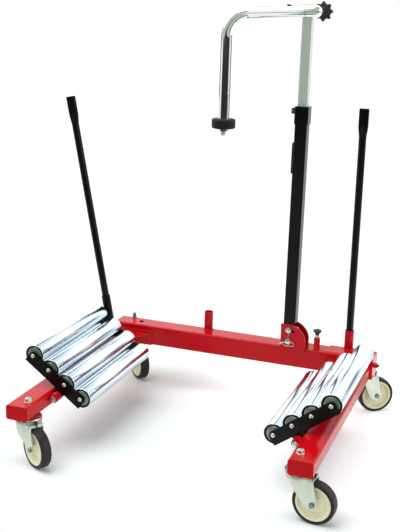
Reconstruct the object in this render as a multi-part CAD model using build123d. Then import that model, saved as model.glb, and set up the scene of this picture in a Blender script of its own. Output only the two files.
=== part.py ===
from build123d import *
import math
import os

os.makedirs("parts", exist_ok=True)

# Working frame: X=0 midway between the arms, Y=0 at the beam's front face, Z=0 on the floor
# Clearances
RUN_FIT = 0.1
SLIDE_FIT = 0.3
SNUG_FIT = 0.05
CUT_PAST = 1.0

# Beam
BEAM_DEPTH = 75.0
BEAM_HEIGHT = 73.5
BEAM_WALL = 4.0
BEAM_CORNER = 6.0
BEAM_HALF = 492.0
FRAME_BASE = 153.0
SADDLE_WALL = 4.0
CHEEK_TALL = 53.0
SADDLE_INNER_END = -341.0
STUB_INNER_END = 325.0
END_PLATE = 4.0
DRAIN_R = 10.0
DRAIN_X = -400.0
BOSS_R = 9.0
BOSS_LONG = 14.0
BOSS_Y = 14.0
BOSS_Z = 201.0

# Arms
ARM_WIDTH = 74.0
ARM_HEIGHT = 47.0
ARM_WALL = 3.5
ARM_CORNER = 7.0
ARM_GAP = 822.0
ARM_REACH = 778.0
GUSSET_ALONG = 60.0
GUSSET_DEEP = 90.0
GUSSET_PLATE = 6.0
GUSSET_TOP = 196.0
KNUCKLE_WEB = 18.0

# Width adjustment
SLIDE_WALL = 3.5
SLIDE_BORE_CORNER = 1.0
SLIDE_START = 20.0
SLIDE_SHORT = 23.0
LOCK_X = 287.5
LOCK_Y = 16.0
LOCK_STEP = 50.0
LOCK_HOLES = 5
LOCK_R = 5.0
LOCK_DROP = 8.0
POST_R = 11.0
POST_TALL = 44.5
KNOB_R = 15.5
KNOB_TALL = 22.0
KNOB_LIFT = LOCK_DROP + 1.0

# Levers and their holders
LEVER_R = 12.7
LEVER_LONG = 843.0
LEVER_BORE = 2.0
LEVER_FLAT_LONG = 68.0
LEVER_NECK = 26.0
LEVER_FLAT_WIDE = 33.0
LEVER_FLAT_THICK = 15.0
HOLDER_R = 16.0
HOLDER_BORE = 13.2
HOLDER_TALL = 70.0
HOLDER_Y = 60.0
RIGHT_HOLDER_IN = 100.0
LEFT_HOLDER_X = -137.0

# Casters
WHEEL_R = 63.5
WHEEL_WIDE = 34.0
HUB_R = 53.0
HUB_BOSS_R = 15.0
HUB_BOSS_WIDE = 40.0
HUB_RIM = 6.0
HUB_RIM_WIDE = 32.0
HUB_DISC = 20.0
HUB_LAP = 2.0
TYRE_ROUND = 5.0
AXLE_R = 6.0
TRAIL = 50.0
LEG_PLATE = 4.0
STUD_R = 6.0
STUD_FRONT_SIDE = 23.0
STUD_FRONT_IN = 47.0
STUD_LEFT_IN = 49.0
STUD_RIGHT_IN = 43.0
STUD_REAR_Y = 66.0
STUD_THREAD = 12.0
TOP_NUT = 19.0
TOP_NUT_TALL = 10.0
TOP_THREAD = 14.0
LEFT_THREAD = 21.0
LOW_NUT = 18.0
LOW_NUT_TALL = 10.0
CAP_R = 44.0
CAP_TALL = 6.0
RACE_R = 42.0
RACE_TALL = 8.0
CROWN_PLATE = 5.0
CROWN_LONG = 76.0
CROWN_AHEAD = 9.0
CROWN_CORNER = 6.0
LEG_FRONT = 29.0
LEG_REAR = 47.0
LEG_BULGE = 6.0
LEG_EYE = 14.0
AXLE_NUT = 18.0
AXLE_HEAD_TALL = 7.0
AXLE_NUT_TALL = 8.0
AXLE_THREAD = 10.0
HEADING = {"fl": -30.5, "fr": -6.0, "rl": -43.0, "rr": 33.0}

# Cradles
TILT = 36.1
PIVOT_IN = 14.25
PIVOT_Z = 179.9
PIVOT_R = 8.0
PIVOT_TUBE_R = 12.0
PIVOT_NUT = 24.0
PIVOT_NUT_TALL = 10.0
PIVOT_THREAD = 14.0
KNUCKLE_R = 14.25
KNUCKLE_LONG = 26.5
KNUCKLE_GAP = 2.5
PLATE_THICK = 7.0
PLATE_FRONT_Y = -611.0
PLATE_ABOVE = 12.0
PLATE_BELOW = 30.0
PLATE_OVERHANG = 14.0
PLATE_ROUND = 14.0
LUG_R = 13.5
ROLLER_R = 32.0
ROLLER_WALL = 3.5
ROLLER_LONG = 457.0
ROLLER_GAP = 3.0
ROLLER_PITCH = 68.74
ROLLER_MID = 39.62
ROLLER_UP = 44.68
SHAFT_R = 6.0
SHAFT_HEAD_R = 9.0
SHAFT_HEAD_TALL = 5.0
SHAFT_NUT = 13.0
SHAFT_NUT_TALL = 5.0
PLUG_LONG = 14.0
PLUG_IN = 1.5
PLUG_OUT = 0.5
PLUG_R = 22.0
PLUG_LAP = 1.0
SOCKET_R = 15.5
SOCKET_LONG = 125.0
SOCKET_LEAN = 10.5
SOCKET_X = -451.5
SOCKET_Z = 246.0
SOCKET_WEB = 16.0
SOCKET_WEB_LOW = 8.0
SOCKET_WEB_HIGH = 48.0

# Mast bracket
MAST_X = 187.0
MAST_Z = 248.5
MAST_LEAN = 0.5
MAST_TURN = 24.5
BRACKET_PLATE = 5.0
BRACKET_R = 63.5
BRACKET_LEFT = 27.0
BRACKET_DROP = 8.0
BOLT_R = 5.0
BOLT_APART = 42.0
BOLT_HEX = 17.0
BOLT_HEAD_TALL = 6.5
BOLT_NUT_TALL = 8.0
BOLT_THREAD = 10.0

# Mast
MAST_SIZE = 42.0
MAST_WALL = 3.0
MAST_CORNER = 4.0
MAST_TALL = 821.5
MAST_END_R = 16.0
COLLAR_SIZE = 48.0
COLLAR_LONG = 56.0
COLLAR_LIP = 4.0
COLLAR_CORNER = 6.0
TUBE_BORE_CORNER = 1.0
INNER_CORNER = 2.0
INNER_SIZE = 32.0
INNER_WALL = 2.5
INNER_LOW = 272.0
CLAMP_DOWN = 13.5
CLAMP_R = 4.0
CLAMP_HEAD_R = 11.5
CLAMP_HEAD_LONG = 13.0
CLAMP_HEAD_ROUND = 4.0
CLAMP_OUT = 2.0
RAIL_DOWN = 121.5
RAIL_LONG = 103.0
RAIL_R = 4.0
RAIL_OUT = 6.5
RAIL_BEND = 5.0

# Hook arm, in the mast's own frame
ROD_R = 19.0
ROD_WALL = 3.0
ROD_PLUG = 3.0
ROD_PLUG_LAP = 1.0
LEG_PLUG = 4.0
ROD_Z = 1129.4
ROD_RISE = 3.0
ROD_END = 56.0
BEND_R = 78.0
LEG_X = -279.7
LEG_END = 722.0
SLEEVE_R = 23.0
SLEEVE_LEFT = -29.0
SLEEVE_RIGHT = 46.0
STAR_X = 38.0
STAR_R = 33.0
STAR_THICK = 22.0
STAR_STEM = 5.0
STAR_NUT_R = 10.0
STAR_NUT_OUT = 3.0
STAR_NUT_LAP = 2.0
STAR_OFF = 8.0
STAR_NOTCH_R = 11.0
STAR_NOTCH_OUT = 4.0
STAR_LOBES = 8
BUMPER_R = 41.5
BUMPER_LOW = 730.5
BUMPER_HIGH = 768.5
BUMPER_ROUND = 7.0
TIP_LOW = 709.5
TIP_R = 13.0
TIP_ROUND = 5.0

# Values that follow from the sizes above
BEAM_TOP = FRAME_BASE + BEAM_HEIGHT
SADDLE_TOP = BEAM_TOP + SADDLE_WALL
SADDLE_FRONT = -SADDLE_WALL
SADDLE_BACK = BEAM_DEPTH + SADDLE_WALL
ARM_INNER = ARM_GAP / 2
ARM_MID = ARM_INNER + ARM_WIDTH / 2
STUD_FRONT_X = ARM_INNER + STUD_FRONT_SIDE
STUD_FRONT_Y = STUD_FRONT_IN - ARM_REACH
STUD_LEFT_X = STUD_LEFT_IN - BEAM_HALF
STUD_RIGHT_X = BEAM_HALF - STUD_RIGHT_IN
SLIDE_END = STUD_RIGHT_X - SLIDE_SHORT
RIGHT_HOLDER_X = BEAM_HALF - RIGHT_HOLDER_IN
COLLAR_LOW = MAST_TALL - COLLAR_LONG
CLAMP_Z = MAST_TALL - CLAMP_DOWN
RAIL_HIGH = MAST_TALL - RAIL_DOWN
RAIL_LOW = RAIL_HIGH - RAIL_LONG
ARM_TOP = FRAME_BASE + ARM_HEIGHT
PIVOT_X = ARM_INNER - PIVOT_IN
BEAM_MID_Y = BEAM_DEPTH / 2
BEAM_MID_Z = FRAME_BASE + BEAM_HEIGHT / 2
CAVITY_DEPTH = BEAM_DEPTH - 2 * BEAM_WALL
CAVITY_HEIGHT = BEAM_HEIGHT - 2 * BEAM_WALL
SLIDE_DEPTH = CAVITY_DEPTH - 2 * SLIDE_FIT
SLIDE_HEIGHT = CAVITY_HEIGHT - 2 * SLIDE_FIT
SLIDE_TOP = BEAM_MID_Z + SLIDE_HEIGHT / 2
ROLLER_FRONT_Y = PLATE_FRONT_Y + PLATE_THICK + ROLLER_GAP
PLATE_REAR_Y = ROLLER_FRONT_Y + ROLLER_LONG + ROLLER_GAP
CRADLE_BACK_Y = PLATE_REAR_Y + PLATE_THICK
ROLLER_S = [ROLLER_MID + (i - 1.5) * ROLLER_PITCH for i in range(4)]
MAST_MID_Y = MAST_SIZE / 2 + SLIDE_FIT
BRACKET_REAR_Y = MAST_SIZE + 2 * SLIDE_FIT
STUDS = {
    "fl": (-STUD_FRONT_X, STUD_FRONT_Y),
    "fr": (STUD_FRONT_X, STUD_FRONT_Y),
    "rl": (STUD_LEFT_X, STUD_REAR_Y),
    "rr": (STUD_RIGHT_X, STUD_REAR_Y),
}
LOW = (Align.CENTER, Align.CENTER, Align.MIN)


# Helpers for plain shapes
def rod(start, direction, radius, length):
    return Plane(origin=start, z_dir=direction) * Cylinder(radius, length, align=LOW)


def hexagon(start, direction, across, length):
    face = RegularPolygon(across / math.sqrt(3), 6)
    return extrude(Plane(origin=start, z_dir=direction) * face, amount=length)


def block(x0, x1, y0, y1, z0, z1):
    middle = Pos((x0 + x1) / 2, (y0 + y1) / 2, (z0 + z1) / 2)
    return middle * Box(x1 - x0, y1 - y0, z1 - z0)


def profile_x(x0):
    return Plane(origin=(x0, 0, 0), x_dir=(0, 1, 0), z_dir=(1, 0, 0))


def profile_y(y0):
    return Plane(origin=(0, y0, 0), x_dir=(1, 0, 0), z_dir=(0, -1, 0))


def bar_x(x0, x1, y_mid, z_mid, depth, height, corner):
    face = Pos(y_mid, z_mid) * RectangleRounded(depth, height, corner)
    return extrude(profile_x(x0) * face, amount=x1 - x0)


def bar_y(y0, y1, x_mid, z_mid, width, height, corner):
    face = Pos(x_mid, z_mid) * RectangleRounded(width, height, corner)
    return extrude(profile_y(y1) * face, amount=y1 - y0)


def bar_z(z0, z1, x_mid, y_mid, width, depth, corner):
    face = Pos(x_mid, y_mid, z0) * RectangleRounded(width, depth, corner)
    return extrude(face, amount=z1 - z0)


def plate_y(face, y0, thick):
    return extrude(profile_y(y0 + thick) * face, amount=thick)


UP = (0, 0, 1)
ALONG_X = (1, 0, 0)
ALONG_Y = (0, 1, 0)

parts = {}

# Main beam
beam = bar_x(-BEAM_HALF + END_PLATE, STUB_INNER_END - SLIDE_FIT, BEAM_MID_Y, BEAM_MID_Z,
             BEAM_DEPTH, BEAM_HEIGHT, BEAM_CORNER)
beam -= bar_x(-BEAM_HALF, STUB_INNER_END, BEAM_MID_Y, BEAM_MID_Z,
              CAVITY_DEPTH, CAVITY_HEIGHT, BEAM_CORNER - BEAM_WALL)
beam -= rod((LOCK_X, LOCK_Y, BEAM_MID_Z), UP, LOCK_R + SLIDE_FIT, BEAM_HEIGHT)
beam -= rod((STUD_LEFT_X, STUD_REAR_Y, 0), UP, STUD_R + RUN_FIT, 2 * BEAM_TOP)
beam -= rod((DRAIN_X, BEAM_MID_Y, BEAM_MID_Z), UP, DRAIN_R, BEAM_HEIGHT)
parts["main_beam"] = beam

# Left saddle: low cheeks before and behind the beam, joined by the end plate
cheek_top = FRAME_BASE + CHEEK_TALL
plate_end = -BEAM_HALF + END_PLATE
saddle = bar_x(-BEAM_HALF, plate_end, BEAM_MID_Y, BEAM_MID_Z, BEAM_DEPTH, BEAM_HEIGHT, BEAM_CORNER)
saddle += block(-BEAM_HALF, plate_end, SADDLE_FRONT, SADDLE_BACK, FRAME_BASE, cheek_top)
saddle += block(-BEAM_HALF, SADDLE_INNER_END, SADDLE_FRONT, 0, FRAME_BASE, cheek_top)
saddle += block(-BEAM_HALF, SADDLE_INNER_END, BEAM_DEPTH, SADDLE_BACK, FRAME_BASE, cheek_top)
parts["left_saddle"] = saddle

# Right stub, closed at its outer end, with a boss on its end plate
stub = block(STUB_INNER_END, BEAM_HALF, SADDLE_FRONT, SADDLE_BACK, FRAME_BASE, SADDLE_TOP)
long_edges = stub.edges().filter_by(Axis.X).group_by(Axis.Z)[-1]
stub = fillet(long_edges, BEAM_CORNER + SADDLE_WALL)
stub -= bar_x(STUB_INNER_END, BEAM_HALF - END_PLATE, BEAM_MID_Y, BEAM_MID_Z,
              SLIDE_DEPTH, SLIDE_HEIGHT, BEAM_CORNER - BEAM_WALL)
stub += rod((BEAM_HALF, BOSS_Y, BOSS_Z), ALONG_X, BOSS_R, BOSS_LONG)
stub -= rod((STUD_RIGHT_X, STUD_REAR_Y, 0), UP, STUD_R + RUN_FIT, 2 * BEAM_TOP)
parts["right_stub"] = stub

# Inner tube of the width adjustment
slide = bar_x(SLIDE_START, SLIDE_END, BEAM_MID_Y, BEAM_MID_Z,
              SLIDE_DEPTH, SLIDE_HEIGHT, BEAM_CORNER - BEAM_WALL)
slide -= bar_x(SLIDE_START, SLIDE_END, BEAM_MID_Y, BEAM_MID_Z,
               SLIDE_DEPTH - 2 * SLIDE_WALL, SLIDE_HEIGHT - 2 * SLIDE_WALL, SLIDE_BORE_CORNER)
for i in range(LOCK_HOLES):
    slide -= rod((LOCK_X - i * LOCK_STEP, LOCK_Y, BEAM_MID_Z), UP, LOCK_R + SLIDE_FIT, BEAM_HEIGHT)
parts["slide_tube"] = slide


# Arms: tube, closed front, gusset and hinge knuckles; the left one is the mirror image
def make_arm():
    arm_z = FRAME_BASE + ARM_HEIGHT / 2
    body = bar_y(-ARM_REACH, SADDLE_FRONT, ARM_MID, arm_z, ARM_WIDTH, ARM_HEIGHT, ARM_CORNER)
    body -= bar_y(-ARM_REACH + ARM_WALL, SADDLE_FRONT, ARM_MID, arm_z, ARM_WIDTH - 2 * ARM_WALL,
                  ARM_HEIGHT - 2 * ARM_WALL, ARM_CORNER - ARM_WALL)
    corner = Polyline((ARM_INNER, SADDLE_FRONT), (ARM_INNER - GUSSET_ALONG, SADDLE_FRONT),
                      (ARM_INNER, SADDLE_FRONT - GUSSET_DEEP), (ARM_INNER, SADDLE_FRONT))
    gusset = extrude(Pos(0, 0, GUSSET_TOP - GUSSET_PLATE) * make_face(corner), amount=GUSSET_PLATE)
    inside = block(ARM_INNER, ARM_INNER + ARM_WALL / 2, SADDLE_FRONT - GUSSET_DEEP, SADDLE_FRONT,
                   GUSSET_TOP - GUSSET_PLATE, GUSSET_TOP)
    body += gusset + inside
    for y0 in KNUCKLE_Y:
        knuckle = rod((PIVOT_X, y0, PIVOT_Z), ALONG_Y, KNUCKLE_R, KNUCKLE_LONG)
        knuckle += block(PIVOT_X, ARM_INNER + ARM_WALL / 2, y0, y0 + KNUCKLE_LONG,
                         PIVOT_Z - KNUCKLE_WEB / 2, PIVOT_Z + KNUCKLE_WEB / 2)
        body += knuckle
        body -= rod((PIVOT_X, y0 - CUT_PAST, PIVOT_Z), ALONG_Y, PIVOT_R + RUN_FIT,
                    KNUCKLE_LONG + 2 * CUT_PAST)
    body -= rod((STUD_FRONT_X, STUD_FRONT_Y, 0), UP, STUD_R + RUN_FIT, 2 * ARM_TOP)
    return body


KNUCKLE_Y = [PLATE_FRONT_Y - KNUCKLE_GAP - KNUCKLE_LONG, CRADLE_BACK_Y + KNUCKLE_GAP]
parts["right_arm"] = make_arm()
parts["left_arm"] = mirror(parts["right_arm"], about=Plane.YZ)


# Pivot shafts of the cradles, held in the knuckles
def make_pivot_shaft():
    start = KNUCKLE_Y[0]
    end = KNUCKLE_Y[1] + KNUCKLE_LONG
    shaft = rod((PIVOT_X, start, PIVOT_Z), ALONG_Y, PIVOT_R, end - start)
    shaft += hexagon((PIVOT_X, start - PIVOT_NUT_TALL, PIVOT_Z), ALONG_Y, PIVOT_NUT, PIVOT_NUT_TALL)
    shaft += hexagon((PIVOT_X, end, PIVOT_Z), ALONG_Y, PIVOT_NUT, PIVOT_NUT_TALL)
    shaft += rod((PIVOT_X, end, PIVOT_Z), ALONG_Y, PIVOT_R, PIVOT_THREAD)
    return shaft


parts["right_pivot_shaft"] = make_pivot_shaft()
parts["left_pivot_shaft"] = mirror(parts["right_pivot_shaft"], about=Plane.YZ)


# Lever holders on the beam
def make_holder(x, base):
    tube = rod((x, HOLDER_Y, base), UP, HOLDER_R, HOLDER_TALL)
    tube -= rod((x, HOLDER_Y, base), UP, HOLDER_BORE, HOLDER_TALL)
    return tube


parts["left_holder"] = make_holder(LEFT_HOLDER_X, BEAM_TOP)
parts["right_holder"] = make_holder(RIGHT_HOLDER_X, SADDLE_TOP)


# Lever bars: tube with a flattened top
def make_lever():
    straight = LEVER_LONG - LEVER_FLAT_LONG - LEVER_NECK
    neck_top = straight + LEVER_NECK
    flat = RectangleRounded(LEVER_FLAT_WIDE, LEVER_FLAT_THICK, LEVER_FLAT_THICK * 0.49)
    bar = Cylinder(LEVER_R, straight, align=LOW)
    bar += loft([Pos(0, 0, straight) * Circle(LEVER_R), Pos(0, 0, neck_top) * flat])
    bar += extrude(Pos(0, 0, neck_top) * flat, amount=LEVER_FLAT_LONG)
    bar -= Cylinder(LEVER_R - LEVER_BORE, straight, align=LOW)
    return bar


def lean(x, y, z, angle):
    return Pos(x, y, z) * Rot(0, angle, 0)


SOCKET_Y = CRADLE_BACK_Y + SOCKET_R
parts["right_lever"] = Pos(RIGHT_HOLDER_X, HOLDER_Y, SADDLE_TOP) * make_lever()
parts["left_lever"] = lean(SOCKET_X, SOCKET_Y, SOCKET_Z, -SOCKET_LEAN) * make_lever()

# Width lock: post, pin and knob, drawn with the pin pulled up
post = rod((LOCK_X, LOCK_Y, BEAM_TOP), UP, POST_R, POST_TALL)
post -= rod((LOCK_X, LOCK_Y, BEAM_TOP), UP, LOCK_R + SLIDE_FIT, POST_TALL)
parts["lock_post"] = post
PIN_LOW = SLIDE_TOP + 2 * SLIDE_FIT
KNOB_LOW = BEAM_TOP + POST_TALL + KNOB_LIFT
parts["lock_pin"] = rod((LOCK_X, LOCK_Y, PIN_LOW), UP, LOCK_R, KNOB_LOW - PIN_LOW)
knob = rod((LOCK_X, LOCK_Y, KNOB_LOW), UP, KNOB_R, KNOB_TALL)
knob = fillet(knob.edges().group_by(Axis.Z)[-1], KNOB_TALL * 0.45)
knob = chamfer(knob.edges().group_by(Axis.Z)[0], KNOB_TALL * 0.25)
parts["lock_knob"] = knob


# Caster studs with race cap, lower nut and top nut
def make_stud(name, top, thread):
    x, y = STUDS[name]
    under = FRAME_BASE - CAP_TALL - SLIDE_FIT - RACE_TALL - CROWN_PLATE
    stud = rod((x, y, under - STUD_THREAD), UP, STUD_R, top + thread - under + STUD_THREAD)
    stud += rod((x, y, FRAME_BASE - CAP_TALL), UP, CAP_R, CAP_TALL)
    stud += hexagon((x, y, under - SLIDE_FIT - LOW_NUT_TALL), UP, LOW_NUT, LOW_NUT_TALL)
    stud += hexagon((x, y, top), UP, TOP_NUT, TOP_NUT_TALL)
    return stud


parts["left_studs"] = [make_stud("fl", ARM_TOP, TOP_THREAD), make_stud("rl", BEAM_TOP, LEFT_THREAD)]
parts["right_studs"] = [make_stud("fr", ARM_TOP, TOP_THREAD), make_stud("rr", SADDLE_TOP, TOP_THREAD)]


# Casters, drawn with the stud on the Z axis and the wheel trailing along +X
def make_fork():
    inner = HUB_BOSS_WIDE / 2 + SLIDE_FIT
    race_low = FRAME_BASE - CAP_TALL - SLIDE_FIT - RACE_TALL
    crown_low = race_low - CROWN_PLATE
    width = 2 * (inner + LEG_PLATE)
    crown = bar_z(crown_low, race_low, CROWN_AHEAD, 0, CROWN_LONG, width, CROWN_CORNER)
    crown += Pos(0, 0, race_low) * Cylinder(RACE_R, RACE_TALL, align=LOW)
    leg_top = race_low - CROWN_PLATE / 5
    side = 0.9 * LEG_EYE
    rise = 3 / 7 * LEG_EYE
    corner = (-LEG_FRONT, leg_top)
    heel = (TRAIL - side, WHEEL_R - rise)
    chord = math.dist(corner, heel)
    bow = ((corner[0] + heel[0]) / 2 - LEG_BULGE * (corner[1] - heel[1]) / chord,
           (corner[1] + heel[1]) / 2 - LEG_BULGE * (heel[0] - corner[0]) / chord)
    outline = Polyline(corner, (LEG_REAR, leg_top), (TRAIL + side, WHEEL_R + rise), heel)
    outline += ThreePointArc(heel, bow, corner)
    leg = make_face(outline) + Pos(TRAIL, WHEEL_R) * Circle(LEG_EYE)
    crown += plate_y(leg, inner, LEG_PLATE)
    crown += plate_y(leg, -inner - LEG_PLATE, LEG_PLATE)
    crown -= rod((TRAIL, -width, WHEEL_R), ALONG_Y, AXLE_R + SNUG_FIT, 2 * width)
    crown -= Cylinder(STUD_R + SLIDE_FIT, 3 * FRAME_BASE, align=LOW)
    return crown


def make_axle():
    half = HUB_BOSS_WIDE / 2 + SLIDE_FIT + LEG_PLATE
    axle = rod((TRAIL, -half, WHEEL_R), ALONG_Y, AXLE_R, 2 * half + AXLE_THREAD)
    axle += hexagon((TRAIL, -half - AXLE_HEAD_TALL, WHEEL_R), ALONG_Y, AXLE_NUT, AXLE_HEAD_TALL)
    axle += hexagon((TRAIL, half, WHEEL_R), ALONG_Y, AXLE_NUT, AXLE_NUT_TALL)
    return axle


def turned(face):
    body = revolve(face, Axis.Y)
    return Pos(TRAIL, 0, WHEEL_R) * body


def ring(inner, outer, width):
    return Pos((inner + outer) / 2, 0) * Rectangle(outer - inner, width)


def make_hub():
    bore = AXLE_R + RUN_FIT
    face = ring(HUB_R - HUB_RIM, HUB_R, HUB_RIM_WIDE)
    face += ring(HUB_BOSS_R - HUB_LAP, HUB_R - HUB_RIM + HUB_LAP, HUB_DISC)
    face += ring(bore, HUB_BOSS_R, HUB_BOSS_WIDE)
    return turned(face)


def make_tyre():
    face = ring(HUB_R, WHEEL_R, WHEEL_WIDE)
    face = fillet(face.vertices().sort_by(Axis.X)[-2:], TYRE_ROUND)
    return turned(face)


for name, heading in HEADING.items():
    place = Pos(STUDS[name][0], STUDS[name][1], 0) * Rot(0, 0, heading)
    parts[name + "_fork"] = place * make_fork()
    parts[name + "_axle"] = place * make_axle()
    parts[name + "_hub"] = place * make_hub()
    parts[name + "_tyre"] = place * make_tyre()


# Cradles, drawn flat round the pivot axis, then tilted; the left one is the mirror image
def cradle_place():
    return Pos(PIVOT_X, 0, PIVOT_Z) * Rot(0, -TILT, 0)


def make_cradle_plate(y0):
    s0 = ROLLER_S[0] - PLATE_OVERHANG
    s1 = ROLLER_S[-1] + PLATE_OVERHANG
    low = ROLLER_UP - PLATE_BELOW
    high = ROLLER_UP + PLATE_ABOVE
    face = Pos((s0 + s1) / 2, (low + high) / 2) * Rectangle(s1 - s0, high - low)
    face = fillet(face.vertices().group_by(Axis.Y)[-1], PLATE_ROUND)
    face += Pos(0, (low + 2) / 2) * Rectangle(2 * LUG_R, low + 2)
    face += Circle(LUG_R)
    face -= Circle(PIVOT_R + RUN_FIT)
    for s in ROLLER_S:
        face -= Pos(s, ROLLER_UP) * Circle(SHAFT_R + SNUG_FIT)
    return plate_y(face, y0, PLATE_THICK)


def make_roller(s):
    half = ROLLER_LONG / 2
    bore = SHAFT_R + RUN_FIT
    seat = ROLLER_R - PLUG_LAP
    face = Pos(ROLLER_R - ROLLER_WALL / 2, 0) * Rectangle(ROLLER_WALL, ROLLER_LONG)
    for side in (-1, 1):
        plug_y = side * (half - PLUG_LONG / 2 - PLUG_IN)
        face += Pos((bore + seat) / 2, plug_y) * Rectangle(seat - bore, PLUG_LONG)
        cap_y = side * (half - PLUG_LONG / 2 + PLUG_OUT)
        face += Pos((bore + PLUG_R) / 2, cap_y) * Rectangle(PLUG_R - bore, PLUG_LONG)
    body = revolve(face, Axis.Y)
    return Pos(s, ROLLER_FRONT_Y + half, ROLLER_UP) * body


def make_shaft(s):
    length = CRADLE_BACK_Y - PLATE_FRONT_Y
    shaft = rod((s, PLATE_FRONT_Y, ROLLER_UP), ALONG_Y, SHAFT_R, length)
    head = rod((s, PLATE_FRONT_Y - SHAFT_HEAD_TALL, ROLLER_UP), ALONG_Y, SHAFT_HEAD_R, SHAFT_HEAD_TALL)
    head = fillet(head.edges().group_by(Axis.Y)[0], SHAFT_HEAD_TALL / 2)
    shaft += head
    shaft += hexagon((s, CRADLE_BACK_Y, ROLLER_UP), ALONG_Y, SHAFT_NUT, SHAFT_NUT_TALL)
    return shaft


tube_long = PLATE_REAR_Y - PLATE_FRONT_Y - PLATE_THICK
pivot_tube = rod((0, PLATE_FRONT_Y + PLATE_THICK, 0), ALONG_Y, PIVOT_TUBE_R, tube_long)
pivot_tube -= rod((0, PLATE_FRONT_Y, 0), ALONG_Y, PIVOT_R + SLIDE_FIT, PLATE_REAR_Y - PLATE_FRONT_Y)
right_pivot_tube = cradle_place() * pivot_tube
plate_pair = [cradle_place() * make_cradle_plate(y) for y in (PLATE_FRONT_Y, PLATE_REAR_Y)]
shaft_set = [cradle_place() * make_shaft(s) for s in ROLLER_S]
roller_set = [cradle_place() * make_roller(s) for s in ROLLER_S]
parts["right_pivot_tube"] = right_pivot_tube
parts["left_pivot_tube"] = mirror(right_pivot_tube, about=Plane.YZ)
parts["right_plates"] = plate_pair
parts["left_plates"] = [mirror(p, about=Plane.YZ) for p in plate_pair]
parts["right_shafts"] = shaft_set
parts["left_shafts"] = [mirror(p, about=Plane.YZ) for p in shaft_set]
for i, roller in enumerate(roller_set):
    parts["right_roller_" + str(i + 1)] = roller
    parts["left_roller_" + str(i + 1)] = mirror(roller, about=Plane.YZ)

# Lever socket on the left cradle's rear plate
socket = Pos(0, 0, -END_PLATE) * Cylinder(SOCKET_R, SOCKET_LONG, align=LOW)
socket += block(-SOCKET_WEB / 2, SOCKET_WEB / 2, -SOCKET_R, 0, SOCKET_WEB_LOW, SOCKET_WEB_HIGH)
socket -= Cylinder(HOLDER_BORE, SOCKET_LONG, align=LOW)
parts["left_socket"] = lean(SOCKET_X, SOCKET_Y, SOCKET_Z, -SOCKET_LEAN) * socket


# Mast bracket: quadrant plates with a pivot hole and an arc slot
def make_bracket(y0, base):
    arc_top = (MAST_X, MAST_Z + BRACKET_R)
    mid = BRACKET_R * math.sqrt(0.5)
    right = MAST_X + BRACKET_R
    left = MAST_X - BRACKET_LEFT
    outline = Polyline((right, MAST_Z), (right, base), (left, base), (left, MAST_Z + BRACKET_R), arc_top)
    curve = ThreePointArc(arc_top, (MAST_X + mid, MAST_Z + mid), (MAST_X + BRACKET_R, MAST_Z))
    plate = plate_y(make_face(outline + curve), y0, BRACKET_PLATE)
    plate -= rod((MAST_X, y0 - CUT_PAST, MAST_Z), ALONG_Y, BOLT_R + RUN_FIT, BRACKET_PLATE + 2 * CUT_PAST)
    slot = []
    steps = 8
    for i in range(steps + 1):
        angle = math.radians(MAST_LEAN + MAST_TURN * i / steps)
        slot.append((MAST_X + BOLT_APART * math.sin(angle), MAST_Z + BOLT_APART * math.cos(angle)))
    first = slot[0]
    middle = slot[steps // 2]
    last = slot[steps]
    path = ThreePointArc(first, middle, last)
    groove = SlotArc(path, 2 * (BOLT_R + SLIDE_FIT))
    plate -= plate_y(groove, y0 - CUT_PAST, BRACKET_PLATE + 2 * CUT_PAST)
    return plate


parts["bracket_plates"] = [
    make_bracket(-BRACKET_PLATE, BEAM_TOP - BRACKET_DROP),
    make_bracket(BRACKET_REAR_Y, BEAM_TOP),
]


# Mast parts are drawn upright round the pivot bolt, then leaned
def mast_place():
    return Pos(MAST_X, 0, MAST_Z) * Rot(0, MAST_LEAN, 0)


mast = bar_z(-MAST_END_R, MAST_TALL, 0, MAST_MID_Y, MAST_SIZE, MAST_SIZE, MAST_CORNER)
mast_bore = MAST_SIZE - 2 * MAST_WALL
mast -= bar_z(-MAST_END_R, MAST_TALL, 0, MAST_MID_Y, mast_bore, mast_bore, TUBE_BORE_CORNER)
foot_cut = block(-MAST_SIZE, MAST_SIZE, -CUT_PAST, MAST_SIZE + CUT_PAST, -MAST_SIZE, 0)
foot_cut -= rod((0, -2 * CUT_PAST, 0), ALONG_Y, MAST_END_R, MAST_SIZE + 4 * CUT_PAST)
mast -= foot_cut
for z in (0, BOLT_APART):
    mast -= rod((0, -CUT_PAST, z), ALONG_Y, BOLT_R + SNUG_FIT, MAST_SIZE + 2 * CUT_PAST)
mast -= rod((-MAST_SIZE, MAST_MID_Y, CLAMP_Z), ALONG_X, CLAMP_R + SLIDE_FIT, MAST_SIZE)
parts["mast_tube"] = mast_place() * mast


def make_mast_bolt(z):
    head = -BRACKET_PLATE - SLIDE_FIT
    tail = BRACKET_REAR_Y + BRACKET_PLATE + SLIDE_FIT
    bolt = rod((0, head, z), ALONG_Y, BOLT_R, tail - head + BOLT_THREAD)
    bolt += hexagon((0, head - BOLT_HEAD_TALL, z), ALONG_Y, BOLT_HEX, BOLT_HEAD_TALL)
    bolt += hexagon((0, tail, z), ALONG_Y, BOLT_HEX, BOLT_NUT_TALL)
    return bolt


parts["mast_bolts"] = [mast_place() * make_mast_bolt(z) for z in (0, BOLT_APART)]

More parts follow.
